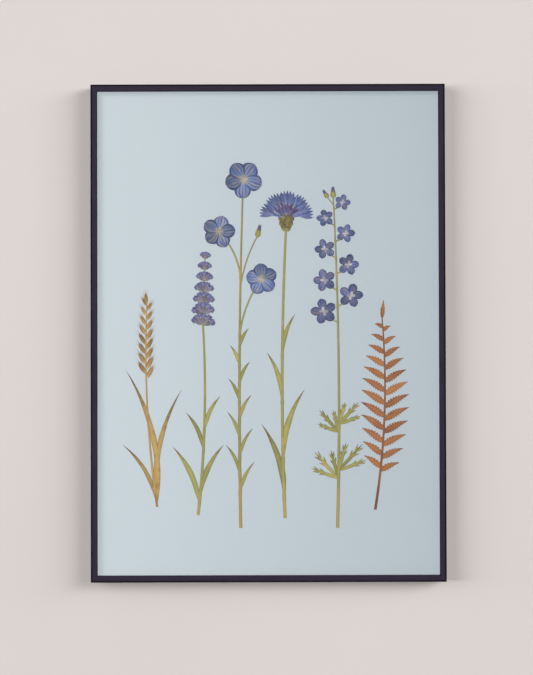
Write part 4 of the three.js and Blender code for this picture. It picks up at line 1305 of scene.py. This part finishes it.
# %% Grass
GRASS_FOOT, GRASS_TIP = (-136, -212), (-148, 40)
GRASS_SPIKELETS, GRASS_FIRST, GRASS_STEP = 16, 0.62, 0.0235  # the lowest one's share, and the next
GRASS_SPREAD = 30
GRASS_HUSK_LONG, GRASS_HUSK_HALF = 19, 2.3
GRASS_BLADES = [
    # angle, length, half width, bow
    (103, 168, 3.4, -14),
    (78, 142, 3.2, 12),
    (120, 84, 2.6, -8),
]
GRASS_HUSKS = [(-7, 0.8, 0.45), (7, 0.84, 0.5), (0, 1.0, 0.62)]  # turn, share of the length, lift
BRISTLE_HALF, BRISTLE_PAST = 0.22, 4  # half width, and how far it reaches past its husk


def add_spikelet(tuft, foot, angle, long, widest):
    for turn, reach, lift in GRASS_HUSKS:
        tip = polar(foot, angle + turn, long * reach)
        add_petal(tuft, "husk", Arch(foot, tip), widest * 0.75, lift)
        start = polar(foot, angle + turn, long * reach * 0.9)
        end = polar(foot, angle + turn * 1.4, long * reach + BRISTLE_PAST)
        add_petal(tuft, "bristle", Arch(start, end), BRISTLE_HALF, lift)


def add_grass():
    tuft = Pressing("grass_sheaf")
    culm = Arch(GRASS_FOOT, GRASS_TIP, bow=6)
    add_stem(tuft, culm, (2.8, 1.4), "dry grass stalk", rows=70, knots=(0.18, 0.4))
    for angle, long, widest, bow in GRASS_BLADES:
        add_leaf(tuft, polar(GRASS_FOOT, 90, 3), angle, long, widest, bow, "dry grass blade")
    for i in range(GRASS_SPIKELETS):
        share = GRASS_FIRST + GRASS_STEP * i
        size = 1 - 0.4 * (i / GRASS_SPIKELETS) ** 2
        angle = culm.angle(share) + (GRASS_SPREAD if i % 2 else -GRASS_SPREAD)
        add_spikelet(tuft, culm.point(share), angle, GRASS_HUSK_LONG * size, GRASS_HUSK_HALF * size)
    add_spikelet(tuft, culm.point(0.98), 96, 15, 2)
    tuft.make("dry_grass", "grass_tuft")


add_grass()

# %% [markdown]
# The metal at the back is stamped, rolled or turned, and each way of making leaves its own shape: eased
# edges and a pressed rib on sheet, an open roll where a strap wraps a bar, a dome and a cross recess on a
# screw. Ready-made cylinders and cubes would show none of that. So a part begins as a skin over rings of
# points, is cut and eased by modifiers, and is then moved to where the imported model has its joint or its
# screw. Every part is built about the origin in millimetres, with Y pointing back towards the wall.

# %% Skins over rings of points
BOARD_BACK = round(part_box("backing_board")[1].y / MM, 3)
SMALLEST = 0.02  # points closer than this fall together


def skin(rings, closed=False):
    """A mesh over rings of points, open at both ends or closed on itself."""
    rows, sides, _ = rings.shape
    index = np.arange(rows * sides).reshape(rows, sides)
    if closed:
        index = np.concatenate((index, index[:1]))
    beside = np.roll(index, -1, axis=1)
    faces = np.stack((index[:-1], index[1:], beside[1:], beside[:-1]), -1).reshape(-1, 4)
    return solid_of(rings.reshape(-1, 3), faces)


def solid_of(points, faces):
    mesh = bpy.data.meshes.new("metal")
    mesh.from_pydata((points * MM).tolist(), [], faces.tolist())
    work = bmesh.new()
    work.from_mesh(mesh)
    bmesh.ops.remove_doubles(work, verts=work.verts, dist=SMALLEST * MM)
    bmesh.ops.recalc_face_normals(work, faces=work.faces)
    work.to_mesh(mesh)
    work.free()
    return mesh


def turned(profile, sides=36):
    """A solid turned about Y from (radius, depth) points that start and end on the axis."""
    radius, depth = np.array(profile, float).T[..., None]
    turn = np.linspace(0, 2 * np.pi, sides, endpoint=False)[None, :]
    return skin(np.stack((radius * np.cos(turn), depth + 0 * turn, radius * np.sin(turn)), -1))


print("the back of the board is at", BOARD_BACK, "mm")

# %% Cutting, easing and placing metal parts
METAL_CREASE = 32  # edges sharper than this many degrees stay sharp
EASE_FROM = 50  # and those sharper than this are eased


def applied(mesh, *cutters, ease=0.0):
    """The mesh with cutters taken out of it and its sharp edges eased, as one new mesh."""
    things = [bpy.data.objects.new("tool", each) for each in (mesh, *cutters)]
    for thing in things:
        bpy.context.scene.collection.objects.link(thing)
    body, tools = things[0], things[1:]
    for tool in tools:
        cut = body.modifiers.new("cut", "BOOLEAN")
        cut.solver = "EXACT"
        cut.object = tool
    if ease:
        bevel = body.modifiers.new("ease", "BEVEL")
        bevel.width, bevel.segments = ease * MM, 2
        bevel.angle_limit = math.radians(EASE_FROM)
    graph = bpy.context.evaluated_depsgraph_get()
    result = bpy.data.meshes.new_from_object(body.evaluated_get(graph))
    for thing in things:
        bpy.data.objects.remove(thing)
    return result


def merged(*meshes):
    """Several meshes as one."""
    work = bmesh.new()
    for mesh in meshes:
        work.from_mesh(mesh)
    whole = bpy.data.meshes.new("metal")
    work.to_mesh(whole)
    work.free()
    return whole


def axis_of(joint):
    """The x and z of a joint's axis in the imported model, in millimetres."""
    x, _, z = next(each["pos_m"] for each in frame["joints"] if each["name"] == joint)
    return x / MM, z / MM


def add_metal(name, mesh, finish, body, replaced, x, z, turn=0.0):
    """Puts a copy of a mesh at x and z, turned about Y, as a piece that rides on a body."""
    copy = mesh.copy()
    copy.transform(Matrix.Translation((x * MM, 0, z * MM)) @ Matrix.Rotation(turn, 4, "Y"))
    copy.materials.clear()
    copy.materials.append(finish)
    place_piece(name, copy, body, (replaced,), METAL_CREASE)


# %% [markdown]
# A pan head screw is pressed from wire, and a punch drives the cross into its head. The head could be a
# squashed ball, but a real one has a short straight rim under a flat dome, and that rim catches the light.
# So the screw is turned from a list of radii, and two crossed wedges, shaped like the punch, are cut out of
# it. Each screw stopped at an angle of its own, so the cross is turned by chance.

# %% Screws
HEAD_RADIUS, SHANK_RADIUS = 3.2, 1.5
SCREW_POINT = -12.6
HEAD_PROFILE = [
    # radius and height over the face that bears on the sheet metal
    (SHANK_RADIUS, 0),
    (3.05, 0),
    (HEAD_RADIUS, 0.12),
    (HEAD_RADIUS, 0.55),
    (3.08, 0.86),
    (2.7, 1.14),
    (2.1, 1.33),
    (1.2, 1.46),
    (0, 1.5),
]
RECESS_LEVELS = [
    # half length, half width and height of a blade of the recess, from its top to its floor
    (0, 0, 1.8),
    (1.75, 0.42, 1.8),
    (0.75, 0.26, 0.6),
    (0, 0, 0.5),
]
RECESS_CORNERS = ((-1, -1), (1, -1), (1, 1), (-1, 1))


def recess(bearing, turn):
    """One blade of the cross recess: a wedge that narrows towards its floor."""
    along = np.array((math.cos(turn), 0, math.sin(turn)))
    across = np.array((-math.sin(turn), 0, math.cos(turn)))
    rings = []
    for long, wide, up in RECESS_LEVELS:
        middle = np.array((0, bearing + up, 0))
        rings.append([middle + u * long * along + v * wide * across for u, v in RECESS_CORNERS])
    return skin(np.array(rings))


def pan_screw(bearing, turn):
    profile = [(0, SCREW_POINT), (SHANK_RADIUS, SCREW_POINT + 0.75)]
    profile += [(radius, bearing + up) for radius, up in HEAD_PROFILE]
    return applied(turned(profile), recess(bearing, turn), recess(bearing, turn + math.pi / 2))


print("a screw head is", 2 * HEAD_RADIUS, "mm wide")

# %% [markdown]
# A swivel clip is punched from brass sheet, with a rib pressed into its tongue to stiffen it. Its outline
# is two arcs about the screw: a round head, and a tip that slips into the saw cut of the rail as the clip
# turns. A flat curve with a hole, extruded and rounded, gives the plate with its eased edges in one step,
# where a cube would have to be cut and bevelled. Clips and screws share one loop, which reads each place
# from the clip's joint.

# %% A plate stamped from sheet
CLIP_PLAY = 0.25  # air between clip and board, and between clip and screw head
CLIP_FRONT, CLIP_THICK = BOARD_BACK + CLIP_PLAY, 1.0
CLIP_REACH, CLIP_HEAD, CLIP_HOLE = 13, 6, 1.8
CLIP_TIP_ANGLE, CLIP_HEAD_ANGLE = 17, 105
CLIP_EASE = 0.18


def sheet_metal(loops, front, thick, ease):
    """A stamped plate between two depths. The first loop is its outline and the others are holes."""
    curve = bpy.data.curves.new("outline", "CURVE")
    curve.dimensions = "2D"
    curve.fill_mode = "BOTH"
    curve.extrude = (thick / 2 - ease) * MM
    curve.bevel_depth = ease * MM
    curve.bevel_resolution = 2
    curve.offset = -ease * MM
    for loop in loops:
        line = curve.splines.new("POLY")
        line.points.add(len(loop) - 1)
        for point, (x, z) in zip(line.points, loop):
            point.co = (x * MM, z * MM, 0, 1)
        line.use_cyclic_u = True
    mesh = applied(curve)
    upright = Matrix.Rotation(math.pi / 2, 4, "X")
    mesh.transform(Matrix.Translation((0, (front + thick / 2) * MM, 0)) @ upright)
    return mesh


def arc(centre, radius, start, end, steps):
    return [polar(centre, angle, radius) for angle in np.linspace(start, end, steps)]


print("a clip is", CLIP_REACH + CLIP_HEAD, "mm long and", CLIP_THICK, "mm thick")

# %% Swivel clips
RIB_FROM, RIB_TO, RIB_WIDE, RIB_TALL = 4.0, 11.2, 1.25, 0.4
CLIP_TURNS = {
    # degrees from pointing right
    "left_low": 180,
    "left_high": 180,
    "right_low": 0,
    "right_high": 0,
    "top": -90,
    "bottom": 90,
}


def pressed_rib():
    """A low ridge from the screw to the tip, wider towards the tip."""
    share = np.linspace(0, 1, 17)[:, None]
    turn = np.linspace(0, 2 * np.pi, 16, endpoint=False)[None, :]
    full = np.sin(np.pi * share**1.2) ** 0.5
    x = RIB_FROM + (RIB_TO - RIB_FROM) * share + 0 * turn
    across = RIB_WIDE * full * (0.7 + 0.3 * share) * np.cos(turn)
    back = CLIP_FRONT + CLIP_THICK - 0.1 + (RIB_TALL + 0.1) * full * np.sin(turn)
    return skin(np.stack((x, back, across), -1))


def swivel_clip():
    outline = arc((0, 0), CLIP_REACH, -CLIP_TIP_ANGLE, CLIP_TIP_ANGLE, 14)
    outline += arc((0, 0), CLIP_HEAD, CLIP_HEAD_ANGLE, 360 - CLIP_HEAD_ANGLE, 30)
    hole = arc((0, 0), CLIP_HOLE, 360, 15, 24)
    return merged(sheet_metal([outline, hole], CLIP_FRONT, CLIP_THICK, CLIP_EASE), pressed_rib())


clip_mesh = swivel_clip()
for i, (place, turn) in enumerate(CLIP_TURNS.items(), 1):
    x, z = axis_of(f"{place}_swivel")
    body, turn = f"{place}_clip", math.radians(turn)
    add_metal(f"turn_clip_{i}", clip_mesh, brass, body, f"clip_{i}", x, z, turn)
    screw_mesh = pan_screw(CLIP_FRONT + CLIP_THICK + CLIP_PLAY, rng.uniform(0, math.pi))
    add_metal(f"turn_screw_{i}", screw_mesh, brass, "picture", f"clip_screw_{i}", x, z)

# %% [markdown]
# A hanger is a strap, rolled round the straight bar of a D-ring and screwed flat to the board. A plate with
# a tube on it would look much the same from afar. But the strap is one sheet all the way, so it is built as
# a grid that first lies on the board and then curls round the bar, with a small gap where the roll meets
# the strap again. The ring is one closed rod that swings in the roll.

# %% The strap of a hanger
STRAP_HALF, STRAP_THICK, STRAP_LONG = 5.5, 1.0, 26
ROLL_OUTER, ROLL_SWEEP = 2.4, 292
ROLL_Y = BOARD_BACK + ROLL_OUTER
STRAP_EASE = 0.12
STRAP_RIB = (-15.5, -4.0, 1.3, 0.3)  # from, to, half width, height
STRAP_SCREW_DROP = 20  # from the bar down to the screw
DRILL_RADIUS = 1.6


def strap_level(path, offset, side):
    """The strap at a depth within its sheet: 0 is the face on the board, 1 the other face."""
    flat = path <= 0
    turn = np.radians(np.maximum(path, 0))
    radius = ROLL_OUTER - offset * STRAP_THICK
    z = np.where(flat, path, radius * np.sin(turn))
    y = np.where(flat, BOARD_BACK + offset * STRAP_THICK, ROLL_Y - radius * np.cos(turn))
    end = np.clip((STRAP_HALF - STRAP_LONG - z) / STRAP_HALF, 0, 1)
    half = STRAP_HALF * np.where(flat, np.sqrt(1.0001 - end**2), 1)
    x = half * side
    start, stop, wide, tall = STRAP_RIB
    ridge = np.clip((z - start) / 2, 0, 1) * np.clip((stop - z) / 2, 0, 1) * flat
    y = y + tall * offset * ridge * np.exp(-((x / wide) ** 2))
    return np.stack((x, y, z + 0 * x), -1)


def strap():
    round_end = STRAP_HALF - STRAP_LONG - STRAP_HALF * np.cos(np.linspace(0, np.pi / 2, 12))
    shank = np.linspace(STRAP_HALF - STRAP_LONG, 0, 40)[1:]
    roll = np.linspace(0, ROLL_SWEEP, 40)[1:]
    path = np.concatenate((round_end, shank, roll))[:, None]
    columns = 16
    side = np.linspace(-1, 1, columns + 1)[None, :]
    both = [strap_level(path, offset, side).reshape(-1, 3) for offset in (1, 0)]
    sheet = solid_of(np.concatenate(both), grid_faces(len(path) - 1, columns))
    ends = BOARD_BACK - 1, BOARD_BACK + 3
    drill = turned([(0, ends[0]), (DRILL_RADIUS, ends[0]), (DRILL_RADIUS, ends[1]), (0, ends[1])])
    drill.transform(Matrix.Translation((0, 0, -STRAP_SCREW_DROP * MM)))
    return applied(sheet, drill, ease=STRAP_EASE)


strap_mesh = strap()
print("the strap has", len(strap_mesh.polygons), "faces")

# %% The D-ring of a hanger
ROD_RADIUS, RING_HALF, RING_LEG, RING_CORNER = 1.1, 8.1, 5, 1.7


def ring_path():
    """The closed line of the ring: its bar, two small corners, two legs and the bow."""
    inner, drop = RING_HALF - RING_CORNER, RING_CORNER
    line = [(x, 0) for x in np.linspace(-inner, inner, 9)[:-1]]
    line += arc((inner, -drop), RING_CORNER, 90, 0, 8)
    line += arc((0, -RING_LEG), RING_HALF, 0, -180, 40)
    line += arc((-inner, -drop), RING_CORNER, 180, 90, 8)[:-1]
    return np.array(line)


def d_ring():
    line = ring_path()
    way = np.roll(line, -1, axis=0) - np.roll(line, 1, axis=0)
    way /= np.linalg.norm(way, axis=1, keepdims=True)
    turn = np.linspace(0, 2 * np.pi, 16, endpoint=False)[None, :]
    out = ROD_RADIUS * np.cos(turn)
    x = line[:, :1] + way[:, 1:] * out
    z = line[:, 1:] - way[:, :1] * out
    return skin(np.stack((x, ROLL_Y + ROD_RADIUS * np.sin(turn) + 0 * x, z), -1), closed=True)


ring_mesh = d_ring()
print("the ring has", len(ring_mesh.polygons), "faces")

# %% Hangers
SCREW_LIFT = 0.05  # between the strap and the head of its screw

for i, side in enumerate(("left", "right"), 1):
    x, z = axis_of(f"{side}_ring_swing")
    add_metal(f"strap_{i}", strap_mesh, zinc, "picture", f"hanger_plate_{i}", x, z)
    add_metal(f"d_ring_{i}", ring_mesh, zinc, f"{side}_ring", f"hanger_ring_{i}", x, z)
    screw_mesh = pan_screw(BOARD_BACK + STRAP_THICK + SCREW_LIFT, rng.uniform(0, math.pi))
    z -= STRAP_SCREW_DROP
    add_metal(f"strap_screw_{i}", screw_mesh, zinc, "picture", f"hanger_screw_{i}", x, z)
